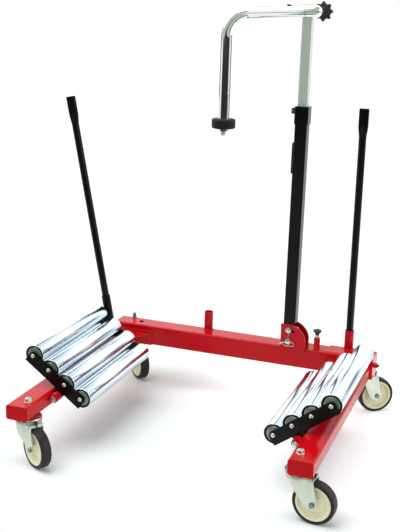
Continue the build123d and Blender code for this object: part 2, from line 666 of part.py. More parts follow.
# Collar with its lip round the inner tube
COLLAR_HIGH = MAST_TALL + COLLAR_LIP
collar = bar_z(COLLAR_LOW, COLLAR_HIGH, 0, MAST_MID_Y, COLLAR_SIZE, COLLAR_SIZE, COLLAR_CORNER)
collar -= bar_z(COLLAR_LOW, MAST_TALL, 0, MAST_MID_Y, MAST_SIZE, MAST_SIZE, MAST_CORNER)
collar_bore = INNER_SIZE + 2 * SLIDE_FIT
collar -= bar_z(COLLAR_LOW, COLLAR_HIGH, 0, MAST_MID_Y, collar_bore, collar_bore, INNER_CORNER)
collar -= rod((-COLLAR_SIZE, MAST_MID_Y, CLAMP_Z), ALONG_X, CLAMP_R + SLIDE_FIT, COLLAR_SIZE)
parts["collar"] = mast_place() * collar

# Clamp screw of the collar
CLAMP_TIP = -INNER_SIZE / 2 - SLIDE_FIT
CLAMP_FACE = -COLLAR_SIZE / 2 - CLAMP_OUT
clamp = rod((CLAMP_FACE, MAST_MID_Y, CLAMP_Z), ALONG_X, CLAMP_R, CLAMP_TIP - CLAMP_FACE)
head = rod((CLAMP_FACE - CLAMP_HEAD_LONG, MAST_MID_Y, CLAMP_Z), ALONG_X, CLAMP_HEAD_R, CLAMP_HEAD_LONG)
head = fillet(head.edges().group_by(Axis.X)[0], CLAMP_HEAD_ROUND)
parts["collar_knob"] = mast_place() * (clamp + head)

# Bent rail welded close to the mast's left side
face_x = -MAST_SIZE / 2
rail_x = face_x - RAIL_OUT
bent = FilletPolyline((face_x, MAST_MID_Y, RAIL_LOW), (rail_x, MAST_MID_Y, RAIL_LOW),
                      (rail_x, MAST_MID_Y, RAIL_HIGH), (face_x, MAST_MID_Y, RAIL_HIGH), radius=RAIL_BEND)
rail = sweep(Plane(origin=bent @ 0, z_dir=bent % 0) * Circle(RAIL_R), path=bent)
parts["side_rail"] = mast_place() * rail

# Inner tube and cross sleeve, which holds the hook's rod at a slight rise
RISE = math.radians(ROD_RISE)
ROD_AXIS = (math.cos(RISE), 0, math.sin(RISE))


def on_rod(along):
    return (along * math.cos(RISE), MAST_MID_Y, ROD_Z + along * math.sin(RISE))


inner = bar_z(INNER_LOW, ROD_Z, 0, MAST_MID_Y, INNER_SIZE, INNER_SIZE, INNER_CORNER)
inner_bore = INNER_SIZE - 2 * INNER_WALL
inner -= bar_z(INNER_LOW, ROD_Z, 0, MAST_MID_Y, inner_bore, inner_bore, TUBE_BORE_CORNER)
inner -= rod(on_rod(-INNER_SIZE), ROD_AXIS, SLEEVE_R, 2 * INNER_SIZE)
parts["inner_tube"] = mast_place() * inner
star_x, star_y, star_z = on_rod(STAR_X)
nut_tall = SLEEVE_R - ROD_R + STAR_NUT_LAP + STAR_NUT_OUT
sleeve = rod(on_rod(SLEEVE_LEFT), ROD_AXIS, SLEEVE_R, SLEEVE_RIGHT - SLEEVE_LEFT)
sleeve += rod((star_x, star_y + ROD_R - STAR_NUT_LAP, star_z), ALONG_Y, STAR_NUT_R, nut_tall)
sleeve -= rod(on_rod(SLEEVE_LEFT), ROD_AXIS, ROD_R + SLIDE_FIT, 2 * SLEEVE_RIGHT - SLEEVE_LEFT)
sleeve -= rod((star_x, star_y, star_z), ALONG_Y, STAR_STEM + SLIDE_FIT, 2 * SLEEVE_R)
parts["sleeve"] = mast_place() * sleeve

# Hook rod: bent tube, closed at its free end
bend_at = (LEG_X, MAST_MID_Y, ROD_Z + LEG_X * math.tan(RISE))
route = FilletPolyline(on_rod(ROD_END), bend_at, (LEG_X, MAST_MID_Y, LEG_END), radius=BEND_R)
start = Plane(origin=on_rod(ROD_END), z_dir=(-ROD_AXIS[0], 0, -ROD_AXIS[2]))
hook = sweep(start * (Circle(ROD_R) - Circle(ROD_R - ROD_WALL)), path=route)
hook += rod(on_rod(ROD_END - ROD_PLUG), ROD_AXIS, ROD_R - ROD_PLUG_LAP, ROD_PLUG)
hook += rod((LEG_X, MAST_MID_Y, LEG_END), UP, ROD_R - ROD_PLUG_LAP, LEG_PLUG)
parts["hook_rod"] = mast_place() * hook

# Bumper and tip nut at the hook's end
bumper = rod((LEG_X, MAST_MID_Y, BUMPER_LOW), UP, BUMPER_R, BUMPER_HIGH - BUMPER_LOW)
bumper = fillet(bumper.edges(), BUMPER_ROUND)
bumper -= rod((LEG_X, MAST_MID_Y, BUMPER_LOW), UP, ROD_R, BUMPER_HIGH - BUMPER_LOW)
parts["bumper"] = mast_place() * bumper
tip = rod((LEG_X, MAST_MID_Y, TIP_LOW), UP, TIP_R, LEG_END - TIP_LOW)
tip = fillet(tip.edges().group_by(Axis.Z)[0], TIP_ROUND)
parts["tip_nut"] = mast_place() * tip

# Star knob behind the sleeve
STAR_BACK = MAST_MID_Y + SLEEVE_R + STAR_OFF
star_face = Circle(STAR_R)
for i in range(STAR_LOBES):
    notch = Pos(STAR_R + STAR_NOTCH_OUT, 0) * Circle(STAR_NOTCH_R)
    star_face -= Rot(0, 0, (i + 0.5) * 360 / STAR_LOBES) * notch
star = Pos(star_x, 0, star_z) * plate_y(star_face, STAR_BACK, STAR_THICK)
stem_low = MAST_MID_Y + ROD_R + SLIDE_FIT
star += rod((star_x, stem_low, star_z), ALONG_Y, STAR_STEM, STAR_BACK - stem_low + 1)
parts["star_knob"] = mast_place() * star

# The origin goes to the middle of the outline, on the floor
groups = {name: shape if isinstance(shape, list) else [shape] for name, shape in parts.items()}
boxes = [piece.bounding_box() for group in groups.values() for piece in group]
low = [min(b.min.X for b in boxes), min(b.min.Y for b in boxes), min(b.min.Z for b in boxes)]
high = [max(b.max.X for b in boxes), max(b.max.Y for b in boxes), max(b.max.Z for b in boxes)]
SHIFT = (-(low[0] + high[0]) / 2, -(low[1] + high[1]) / 2, -low[2])

for name, group in groups.items():
    solids = [solid for piece in group for solid in (Pos(*SHIFT) * piece).solids()]
    export_step(solids[0] if len(solids) == 1 else Compound(solids), "parts/" + name + ".step")
print("nodes", len(groups), "shift", SHIFT, "size", [high[i] - low[i] for i in range(3)])
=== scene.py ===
import math

import bmesh
import bpy
import numpy as np
from mathutils import Matrix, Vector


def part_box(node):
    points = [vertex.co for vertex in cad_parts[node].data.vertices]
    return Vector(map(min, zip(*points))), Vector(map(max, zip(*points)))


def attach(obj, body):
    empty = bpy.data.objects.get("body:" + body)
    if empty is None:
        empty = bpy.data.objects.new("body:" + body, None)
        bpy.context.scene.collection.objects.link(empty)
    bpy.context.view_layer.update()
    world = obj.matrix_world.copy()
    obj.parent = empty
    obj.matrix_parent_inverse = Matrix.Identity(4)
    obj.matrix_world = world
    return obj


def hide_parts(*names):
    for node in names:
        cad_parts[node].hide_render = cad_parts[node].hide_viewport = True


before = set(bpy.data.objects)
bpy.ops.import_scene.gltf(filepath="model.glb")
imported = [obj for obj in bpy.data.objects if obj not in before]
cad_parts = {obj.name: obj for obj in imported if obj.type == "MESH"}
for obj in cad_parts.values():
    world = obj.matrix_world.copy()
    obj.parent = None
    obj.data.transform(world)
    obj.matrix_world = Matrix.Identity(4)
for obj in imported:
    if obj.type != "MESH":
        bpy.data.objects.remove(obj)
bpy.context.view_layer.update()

# Red frame: the square beam with its left saddle and right stub, the two arms and
# the mast's bracket plates. All are steel tube and plate, welded together and
# powder coated in a glossy red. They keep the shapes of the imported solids.
RED = (0.62, 0.0038, 0.0100, 1.0)
RED_DEEP = (0.55, 0.0025, 0.0070, 1.0)
FRAME_PIECES = ["main_beam", "left_saddle", "right_stub", "left_arm", "right_arm", "bracket_plates"]


class Socket:
    """One socket of a finish's node tree. Sums and products of sockets and numbers add Math nodes."""

    def __init__(self, tree, socket=None):
        self.tree = tree
        self.socket = socket

    def node(self, kind, settings=(), inputs=(), output=0):
        """Adds a node: its settings come first, then each input takes a value or a link."""
        made = self.tree.nodes.new(kind)
        for name, value in dict(settings).items():
            setattr(made, name, value)
        for name, value in dict(inputs).items():
            if isinstance(value, Socket):
                self.tree.links.new(value.socket, made.inputs[name])
            else:
                made.inputs[name].default_value = value
        return Socket(self.tree, made.outputs[output] if made.outputs else None)

    def __add__(self, other):
        return self.node("ShaderNodeMath", {"operation": "ADD"}, {0: self, 1: other})

    def __sub__(self, other):
        return self.node("ShaderNodeMath", {"operation": "SUBTRACT"}, {0: self, 1: other})

    def __rsub__(self, other):
        return self.node("ShaderNodeMath", {"operation": "SUBTRACT"}, {0: other, 1: self})

    def __mul__(self, other):
        return self.node("ShaderNodeMath", {"operation": "MULTIPLY"}, {0: self, 1: other})

    __radd__ = __add__
    __rmul__ = __mul__


def new_finish(name):
    """An empty material and the socket that its expressions start from."""
    material = bpy.data.materials.new(name)
    material.use_nodes = True
    material.node_tree.nodes.clear()
    return material, Socket(material.node_tree)


def grain(start, scale, detail=3.0, stretch=(1.0, 1.0, 1.0)):
    """Noise over the piece: scale counts waves in a metre, and stretch multiplies it along each axis."""
    where = start.node("ShaderNodeTexCoord", output="Object")
    where = start.node("ShaderNodeMapping", {}, {"Vector": where, "Scale": stretch})
    return start.node("ShaderNodeTexNoise", {}, {"Vector": where, "Scale": scale, "Detail": detail})


def mixed(factor, first, second):
    """A colour between two, by a factor from 0 to 1."""
    return factor.node("ShaderNodeMix", {"data_type": "RGBA"}, {0: factor, 6: first, 7: second}, 2)


def bumped(height, strength, distance, edge=0.0):
    """A normal from a height; edge rounds the sharp edges of a plate by that radius in metres."""
    inputs = {"Height": height, "Strength": strength, "Distance": distance}
    if edge:
        inputs["Normal"] = height.node("ShaderNodeBevel", {"samples": 4}, {"Radius": edge})
    return height.node("ShaderNodeBump", {}, inputs)


def close_finish(start, **look):
    """Ends a finish with a Principled shader; a look's underscores stand for spaces."""
    inputs = {name.replace("_", " "): value for name, value in look.items()}
    shader = start.node("ShaderNodeBsdfPrincipled", {}, inputs)
    start.node("ShaderNodeOutputMaterial", {}, {"Surface": shader})


def mottled(name, colours, coarse, fine, rough, bump, **look):
    """A finish with a coarse grain, which takes its colour from one to the other and its roughness from
    rough's first number up by its second, and with a fine grain, which bumps its surface."""
    material, start = new_finish(name)
    patches = grain(start, *coarse)
    relief = grain(start, *fine)
    close_finish(
        start,
        Base_Color=mixed(patches, *colours),
        Roughness=rough[0] + rough[1] * patches,
        Normal=bumped(relief, *bump),
        **look,
    )
    return material


def coat(material, *names):
    """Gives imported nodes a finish."""
    for name in names:
        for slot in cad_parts[name].material_slots:
            slot.material = material


red_paint = mottled(
    "red_paint", (RED_DEEP, RED), coarse=(7.0, 2.0), fine=(420.0, 1.0),
    rough=(0.13, 0.10), bump=(0.08, 0.0005, 0.0022), IOR=1.28,
)
coat(red_paint, *FRAME_PIECES)

# Weld beads: the arms are welded to the saddle and the stub, the gussets and hinge
# knuckles to the arms, and the bracket plates to the beam. The beads are steel,
# laid in small ripples, and painted over with the frame.
MM = 0.001
MERGE = 2e-6
ALONG_X, ALONG_Y, UP = (1.0, 0.0, 0.0), (0.0, 1.0, 0.0), (0.0, 0.0, 1.0)
BEAM_RIGHT_END, BEAM_TOP, FRAME_BASE, SADDLE_FRONT = 324.7, 226.5, 153.0, -4.0
ARM_INNER, ARM_OUTER, ARM_TOP, ARM_EASE = 411.0, 485.0, 200.0, 7.0
CHEEK_LEFT, CHEEK_RIGHT, CHEEK_TOP, CHEEK_FACES = -486.0, -341.0, 206.0, (-1.0, 76.0)
GUSSET_ALONG, GUSSET_DEEP, GUSSET_TOP = 60.0, 90.0, 196.0
KNUCKLES, KNUCKLE_LONG, KNUCKLE_UP, PIVOT_Z = (-640.0, -131.5), 26.5, 9.0, 179.9
BRACKET_LEFT, BRACKET_RIGHT, BRACKET_LOW, BRACKET_FRONT, BRACKET_BACK = 160.0, 250.5, 218.5, -1.5, 49.0
RIPPLE, RIPPLE_SHARE, BEAD_STEP, PLATE_EASE = 4.2, 0.14, 1.4, 3.0
ARM_BEAD, BRACKET_BEAD, PLATE_BEAD, KNUCKLE_BEAD = 2.6, 2.4, 2.0, 1.9
beam_low, beam_high = (np.array(corner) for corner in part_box("main_beam"))
ORIGIN = np.array([beam_high[0] - BEAM_RIGHT_END * MM, beam_low[1], 0.0])


def piece(name, grids, material, body, replaced=(), crease=38.0):
    """One object from grids of points in millimetres, measured from the middle between the arms,
    the beam's front face and the floor. Neighbouring points of a grid make quads, and points
    that meet at seams and poles are merged."""
    corners, quads, first = [], [], 0
    for grid in grids:
        rows, columns = grid.shape[:2]
        number = first + np.arange(rows * columns).reshape(rows, columns)
        around = [number[:-1, :-1], number[1:, :-1], number[1:, 1:], number[:-1, 1:]]
        quads.append(np.stack(around, -1).reshape(-1, 4))
        corners.append(grid.reshape(-1, 3))
        first += rows * columns
    mesh = bpy.data.meshes.new(name)
    points = np.concatenate(corners) * MM + ORIGIN
    mesh.from_pydata(points.tolist(), [], np.concatenate(quads).tolist())
    work = bmesh.new()
    work.from_mesh(mesh)
    bmesh.ops.remove_doubles(work, verts=work.verts, dist=MERGE)
    bmesh.ops.recalc_face_normals(work, faces=work.faces)
    work.to_mesh(mesh)
    work.free()
    mesh.materials.append(material)
    mesh.shade_smooth()
    mesh.set_sharp_from_angle(angle=math.radians(crease))
    made = bpy.data.objects.new(name, mesh)
    bpy.context.scene.collection.objects.link(made)
    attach(made, body)
    if replaced:
        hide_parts(*replaced)


def eased(corners, reach, steps=6):
    """A line whose inner corners become small curves: each starts and ends at its reach from the
    corner and bends once between, as a quadratic curve does."""
    points = np.asarray(corners, float)
    inner = points[1:-1]
    reach = np.broadcast_to(np.asarray(reach, float), len(inner))[:, None]
    behind, ahead = points[:-2] - inner, points[2:] - inner
    behind = inner + reach * behind / np.linalg.norm(behind, axis=1)[:, None]
    ahead = inner + reach * ahead / np.linalg.norm(ahead, axis=1)[:, None]
    t = np.linspace(0.0, 1.0, steps)[:, None, None]
    curve = (1 - t) ** 2 * behind + 2 * t * (1 - t) * inner + t ** 2 * ahead
    return np.concatenate([points[:1], curve.swapaxes(0, 1).reshape(-1, points.shape[1]), points[-1:]])


def spaced(line, step):
    """Points at even steps along a line, by its running length."""
    line = np.asarray(line, float)
    run = np.concatenate([[0.0], np.cumsum(np.linalg.norm(np.diff(line, axis=0), axis=1))])
    at = np.linspace(0.0, run[-1], max(3, int(run[-1] / step) + 1))
    return np.stack([np.interp(at, run, line[:, k]) for k in range(line.shape[1])], -1)


def round_section(radius, steps=12):
    """A circle of that radius, or one circle for each radius of a column of radii."""
    turn = np.linspace(0.0, 2.0 * math.pi, steps + 1)
    return np.asarray(radius)[..., None, None] * np.stack([np.cos(turn), np.sin(turn)], -1)


def carried(path, section, level, closed=False):
    """A section carried along a path that lies square to level: a section's first number goes to
    the path's side and its second along level. Open ends are closed at the path's end points."""
    path = np.asarray(path, float)
    ahead = np.gradient(path, axis=0)
    if closed:
        ahead[[0, -1]] = ahead[0] + ahead[-1]
    side = np.cross(level, ahead)
    side /= np.linalg.norm(side, axis=1)[:, None]
    body = path[:, None] + section[..., :1] * side[:, None] + section[..., 1:] * np.array(level, float)
    if closed:
        return body
    ends = np.broadcast_to(path[[0, -1], None], (2, *body.shape[1:]))
    return np.concatenate([ends[:1], body, ends[1:]])


def bead(line, level, size, closed=False):
    """A weld bead: a round section whose radius ripples along the line."""
    path = spaced(line, BEAD_STEP)
    wave = np.sin(np.arange(len(path)) * BEAD_STEP * 2 * math.pi / RIPPLE)
    return carried(path, round_section(size * (1 + RIPPLE_SHARE * wave), 8), level, closed)


def ring_bead(x, y, z, radius, size):
    """A weld bead along a level circle, for a post on a plate."""
    turn = np.linspace(0.0, 2.0 * math.pi, 65)
    line = np.stack([x + radius * np.cos(turn), y + radius * np.sin(turn), np.full(65, z)], -1)
    return bead(line, UP, size, True)


def arm_beads(side):
    """An arm's beads: one over its end, up the inner wall, across the top and down the outer wall, and
    short ones where the hinge knuckles and the gusset meet the arm and its frame."""
    inner, low = side * ARM_INNER, FRAME_BASE + 1
    over = [(ARM_INNER, low), (ARM_INNER, ARM_TOP), (ARM_OUTER, ARM_TOP), (ARM_OUTER, low)]
    beads = [bead(eased([(side * x, SADDLE_FRONT, z) for x, z in over], ARM_EASE), ALONG_Y, ARM_BEAD)]
    for y in KNUCKLES:
        for z in (PIVOT_Z - KNUCKLE_UP, PIVOT_Z + KNUCKLE_UP):
            beads.append(bead([(inner, y, z), (inner, y + KNUCKLE_LONG, z)], UP, KNUCKLE_BEAD))
    corner = (inner, SADDLE_FRONT, GUSSET_TOP)
    foot = (side * (ARM_INNER - GUSSET_ALONG), SADDLE_FRONT, GUSSET_TOP)
    reach = (inner, SADDLE_FRONT - GUSSET_DEEP, GUSSET_TOP)
    return beads + [bead([foot, corner], UP, PLATE_BEAD), bead([corner, reach], UP, PLATE_BEAD)]


cheek = [(CHEEK_LEFT, CHEEK_TOP), (CHEEK_RIGHT, CHEEK_TOP), (CHEEK_RIGHT, FRAME_BASE + 3)]
cheek_lines = [eased([(x, 0.0, z) for x, z in cheek], PLATE_EASE) + (0.0, y, 0.0) for y in CHEEK_FACES]
cheek_beads = [bead(line, ALONG_Y, PLATE_BEAD) for line in cheek_lines]
piece("left_arm_welds", arm_beads(-1) + cheek_beads, red_paint, "frame")
piece("right_arm_welds", arm_beads(1), red_paint, "right_frame")
bracket_foot = [(BRACKET_LEFT, BEAM_TOP - 0.5), (BRACKET_LEFT, BRACKET_LOW),
                (BRACKET_RIGHT, BRACKET_LOW), (BRACKET_RIGHT, BEAM_TOP - 0.5)]
bracket_foot = eased([(x, BRACKET_FRONT, z) for x, z in bracket_foot], PLATE_EASE)
bracket_rear = [(BRACKET_LEFT, BRACKET_BACK, BEAM_TOP), (BRACKET_RIGHT, BRACKET_BACK, BEAM_TOP)]
piece(
    "bracket_welds", [bead(bracket_foot, ALONG_Y, BRACKET_BEAD), bead(bracket_rear, UP, BRACKET_BEAD)],
    red_paint, "frame",
)

# Lever holders: two short tubes welded upright on the beam. The right one carries a
# lever bar, and the left one is empty. Steel tube, painted with the frame.
HOLDER_R, HOLDER_BORE, HOLDER_TALL, HOLDER_Y, SADDLE_TOP = 16.0, 13.2, 70.0, 60.0, 230.5
HOLDER_EASE, HOLDER_BEAD = (0.8, 0.8, 0.1), 2.3
HOLDERS = {"left": (-137.0, BEAM_TOP, "frame"), "right": (392.0, SADDLE_TOP, "right_frame")}


def turned(profile, base, axis=UP, steps=48, shaped=None):
    """A turned shape: (radius, height) points carried once round the axis through base. A rule given
    as shaped makes the radii vary with the turn."""
    axis = np.array(axis, float) / np.linalg.norm(axis)
    side = np.cross(axis, UP if abs(axis[2]) < 0.9 else ALONG_X)
    side /= np.linalg.norm(side)
    turn = np.linspace(0.0, 2.0 * math.pi, steps + 1)
    ring = np.outer(np.cos(turn), side) + np.outer(np.sin(turn), np.cross(axis, side))
    profile = np.asarray(profile, float)
    radius = profile[:, :1] if shaped is None else shaped(profile, turn)
    return np.asarray(base, float) + profile[:, 1, None, None] * axis + radius[..., None] * ring


for side, (x, base, body) in HOLDERS.items():
    wall = [(HOLDER_BORE, 0), (HOLDER_BORE, HOLDER_TALL), (HOLDER_R, HOLDER_TALL),
            (HOLDER_R, 0), (HOLDER_BORE, 0)]
    tube = turned(eased(wall, HOLDER_EASE, 4), (x, HOLDER_Y, base))
    weld = ring_bead(x, HOLDER_Y, base + 0.4, HOLDER_R + 0.8, HOLDER_BEAD)
    piece(side + "_lever_holder", [tube, weld], red_paint, body, [side + "_holder"])

# Width lock: a red post on the beam guides a zinc pin with a black moulded knob.
# The pin drops into a hole of the sliding tube when the knob is let down.
LOCK_X, LOCK_Y, POST_TALL, KNOB_BASE = 287.5, 16.0, 44.5, 280.0
POST = [(5.3, 0), (5.3, 38.0), (7.4, 38.0), (7.4, POST_TALL), (8.8, POST_TALL), (11.0, 40.5),
        (11.0, 0), (5.3, 0)]
POST_EASE, POST_BEAD_R = (0.3, 0.3, 0.5, 0.6, 1.2, 0.1), 11.6
STEM = [(0, -58.9), (4.4, -58.9), (5.0, -58.0), (5.0, -4.8), (6.7, -4.2), (6.7, -0.6), (6.0, 0.2), (0, 0.2)]
MUSHROOM = [(0, 0, 0), (5.6, 0, 0), (6.6, 0.8, 0), (7.0, 4.0, 0.1), (8.6, 8.0, 0.4), (12.4, 11.4, 1),
            (15.0, 13.2, 1), (15.5, 15.2, 1), (15.2, 17.6, 1), (13.0, 19.8, 0.8), (9.0, 21.2, 0.3),
            (4.0, 21.9, 0), (0, 22.0, 0)]
KNOB_LOBES, KNOB_DEPTH, LOBE_POWER = 7, 0.13, 0.7
ZINC = (0.75, 0.80, 0.69, 1.0)
ZINC_DULL = (0.57, 0.62, 0.52, 1.0)
BRIGHT = (0.74, 0.77, 0.73, 1.0)
BRIGHT_DULL = (0.50, 0.53, 0.49, 1.0)
MOULDED = (0.0125, 0.0125, 0.013, 1.0)
MOULDED_WORN = (0.021, 0.021, 0.021, 1.0)

zinc = mottled(
    "zinc", (ZINC_DULL, ZINC), coarse=(60.0, 4.0), fine=(900.0, 2.0),
    rough=(0.24, 0.16), bump=(0.06, 0.0003), Metallic=0.62,
)
bright_zinc = mottled(
    "bright_zinc", (BRIGHT_DULL, BRIGHT), coarse=(90.0, 4.0), fine=(700.0, 2.0),
    rough=(0.20, 0.16), bump=(0.06, 0.0003), Metallic=1.0,
)
black_plastic = mottled(
    "black_plastic", (MOULDED, MOULDED_WORN), coarse=(40.0, 3.0), fine=(1500.0, 1.0),
    rough=(0.38, 0.12), bump=(0.10, 0.0003),
)


def lobed(profile, base, axis, lobes, depth):
    """A turned shape with lobes: the radius swells and shrinks with the turn by a share that each
    profile point gives as its third number."""

    def waved(profile, turn):
        wave = (0.5 - 0.5 * np.cos(lobes * turn)) ** LOBE_POWER
        return profile[:, :1] * (1 - depth * profile[:, 2:] * wave)

    return turned(profile, base, axis, 96, waved)


piece(
    "lock_guide",
    [turned(eased(POST, POST_EASE, 4), (LOCK_X, LOCK_Y, BEAM_TOP)),
     ring_bead(LOCK_X, LOCK_Y, BEAM_TOP + 0.3, POST_BEAD_R, PLATE_BEAD)],
    red_paint, "frame", ["lock_post"],
)
piece(
    "lock_stem", [turned(STEM, (LOCK_X, LOCK_Y, KNOB_BASE))],
    bright_zinc, "lock_pin", ["lock_pin"],
)
piece(
    "lock_knob_top", [lobed(MUSHROOM, (LOCK_X, LOCK_Y, KNOB_BASE), UP, KNOB_LOBES, KNOB_DEPTH)],
    black_plastic, "lock_pin", ["lock_knob"],
)

# Casters: four swivel wheels. Each has a threaded stud with nuts through the frame, a
# pressed zinc fork under a ball race, an axle bolt, a cream hub and a dark rubber tyre.
WHEEL_R, TRAIL, RACE_LOW = 63.5, 50.0, 138.7
CASTERS = {
    "fl": ((-434.0, -731.0), -30.5), "fr": ((434.0, -731.0), -6.0),
    "rl": ((-443.0, 66.0), -43.0), "rr": ((449.0, 66.0), 33.0),
}
STUD_TOPS = {
    "fl": (ARM_TOP, 14.0, 19), "fr": (ARM_TOP, 14.0, 19),
    "rl": (BEAM_TOP, 21.0, 14), "rr": (SADDLE_TOP, 14.0, 19),
}
STUD_R, STUD_LOW, LOWER_NUT, LOWER_NUT_Z, TOP_WASHER = 6, 121.8, (18, 10), 123.4, 1.8
CHAMFER_SHARE, CHAMFER_WIDE, WASHER_EASE, WASHER_SHARE, NUT_SHARE = 0.045, 1.6, 0.4, 0.65, 0.5
CAP_RIM = [(6, 147.0), (37, 147.0), (40.2, 147.9), (41.8, 149.6), (42.2, 151.4), (41.4, 152.9),
           (6, 152.9), (6, 147.0)]
CROWN_R, CROWN_HALF, LEG_FLAT, SHEET, EYE = 39.0, 3.4, 22.3, 1.7, 14.0
CROWN_Z, CROWN_TURN, CROWN_TAIL, CROWN_EASE = RACE_LOW - CROWN_HALF, 2.4, [38.0, 46.0, 50.0], 0.10
LEG_LOW, LEG_WIDE, FRONT_LOW, FRONT_SLOPE, FRONT_BOW = 49.5, 25.0, 60.0, 0.63, 0.0017
LEAN_FROM, LEAN_OVER = 50.0, 72.0
RACE = [(6.4, -0.2), (36, -0.2), (40, 0.6), (41.8, 2.4), (42, 3.6), (39.6, 4.4), (39.6, 5.2), (41.6, 5.8),
        (42, 7.0), (41.2, 7.9), (6.4, 7.9), (6.4, -0.2)]
SCREW = [(0, -13.4), (3.4, -13.4), (4.2, -12.6), (4.2, -4.2), (5.6, -3.8), (5.6, 2.6), (4.6, 3.4), (0, 3.4)]
SCREW_AT = (47.0, 0, 146.0)
AXLE_PIN = [(0, -24.3), (6, -24.3), (6, 31.0), (5, 32.2), (0, 32.3)]
AXLE_WASHER, AXLE_WASHERS = (8.6, 1.2), (-25.6, 24.4)
AXLE_NUT, AXLE_NUTS = 14, ((-30.6, 5.0), (25.6, 5.4))
HUB = [(6.1, -20), (12.6, -20), (14.2, -18.8), (15.6, -11.0), (18.0, -7.8), (30, -7.0), (32, -8.6),
       (35, -8.6), (37, -7.0), (41.5, -7.0), (43.6, -8.4), (46.4, -14.4), (47.6, -16), (52, -16), (53, -15)]
SIDEWALL = [(52.6, -15.2), (53.4, -16.6), (55, -17), (58.6, -17), (61.2, -15.8), (62.8, -13.4), (63.2, -11),
            (63.35, -6.6), (62.9, -6.2), (62.9, -5.6), (63.4, -5.2), (WHEEL_R, 0)]
WHEEL_CREASE = 30.0
CREAM = (0.84, 0.79, 0.50, 1.0)
CREAM_PALE = (0.90, 0.87, 0.66, 1.0)
BOLT_DARK = (0.15, 0.18, 0.15, 1.0)
BOLT_GREY = (0.33, 0.37, 0.33, 1.0)
TYRE = (0.017, 0.011, 0.012, 1.0)
TYRE_DUSTY = (0.040, 0.028, 0.029, 1.0)

cream_plastic = mottled(
    "cream_plastic", (CREAM, CREAM_PALE), coarse=(26.0, 3.0), fine=(1200.0, 1.0),
    rough=(0.34, 0.14), bump=(0.06, 0.0003),
)
dark_bolt = mottled(
    "dark_bolt", (BOLT_DARK, BOLT_GREY), coarse=(120.0, 3.0), fine=(700.0, 2.0),
    rough=(0.24, 0.14), bump=(0.06, 0.0003), Metallic=0.9,
)
tyre_rubber = mottled(
    "tyre", (TYRE, TYRE_DUSTY), coarse=(34.0, 4.0), fine=(1400.0, 2.0),
    rough=(0.34, 0.16), bump=(0.14, 0.0003), IOR=1.28,
)


def hexed(profile, across, base, axis=UP):
    """A hexagon head or nut: a turned shape whose radius is cut back to the flats, the smaller of
    the profile's radius and half the width across flats over the cosine from the flat's middle."""

    def cut_back(profile, turn):
        flat = across / 2 / np.cos((turn + math.pi / 6) % (math.pi / 3) - math.pi / 6)
        return np.minimum(profile[:, :1], flat)

    return turned(profile, base, axis, 72, cut_back)


def nut(across, tall, base, axis=UP):
    """A nut with both rims of its corners chamfered."""
    wide, chamfer = across / math.sqrt(3), across * CHAMFER_SHARE
    rim = wide - CHAMFER_WIDE * chamfer
    profile = [(0, 0), (rim, 0), (wide, chamfer), (wide, tall - chamfer), (rim, tall), (0, tall)]
    return hexed(profile, across, base, axis)


def washer(radius, tall, base, axis=UP):
    """A flat washer with eased rims."""
    rim = radius - WASHER_EASE
    profile = [(0, 0), (rim, 0), (radius, WASHER_EASE), (radius, tall - WASHER_EASE), (rim, tall), (0, tall)]
    return turned(profile, base, axis, 40)


def stud(name):
    """The stud with its lower nut, top washer and nut, and a domed thread end."""
    (x, y), (top, thread, across) = CASTERS[name][0], STUD_TOPS[name]
    tip = top + thread
    shank = [(0, STUD_LOW), (STUD_R - 0.8, STUD_LOW), (STUD_R, STUD_LOW + 0.8), (STUD_R, tip - 1.6),
             (STUD_R - 1.0, tip - 0.4), (2.6, tip), (0, tip)]
    return [turned(shank, (x, y, 0), steps=40), nut(*LOWER_NUT, (x, y, LOWER_NUT_Z)),
            washer(across * WASHER_SHARE, TOP_WASHER, (x, y, top)),
            nut(across, across * NUT_SHARE, (x, y, top + TOP_WASHER))]


def race_cap(name):
    """The race's fixed cap under the frame: a flat disc with a rolled rim."""
    return turned(CAP_RIM, (*CASTERS[name][0], 0), steps=72)


def on_caster(grid, name):
    """A caster's own points, with its stud at the origin and its wheel trailing along x, put in place."""
    (x, y), heading = CASTERS[name]
    c, s = math.cos(math.radians(heading)), math.sin(math.radians(heading))
    along, across, height = grid[..., 0], grid[..., 1], grid[..., 2]
    return np.stack([x + c * along - s * across, y + s * along + c * across, height], -1)


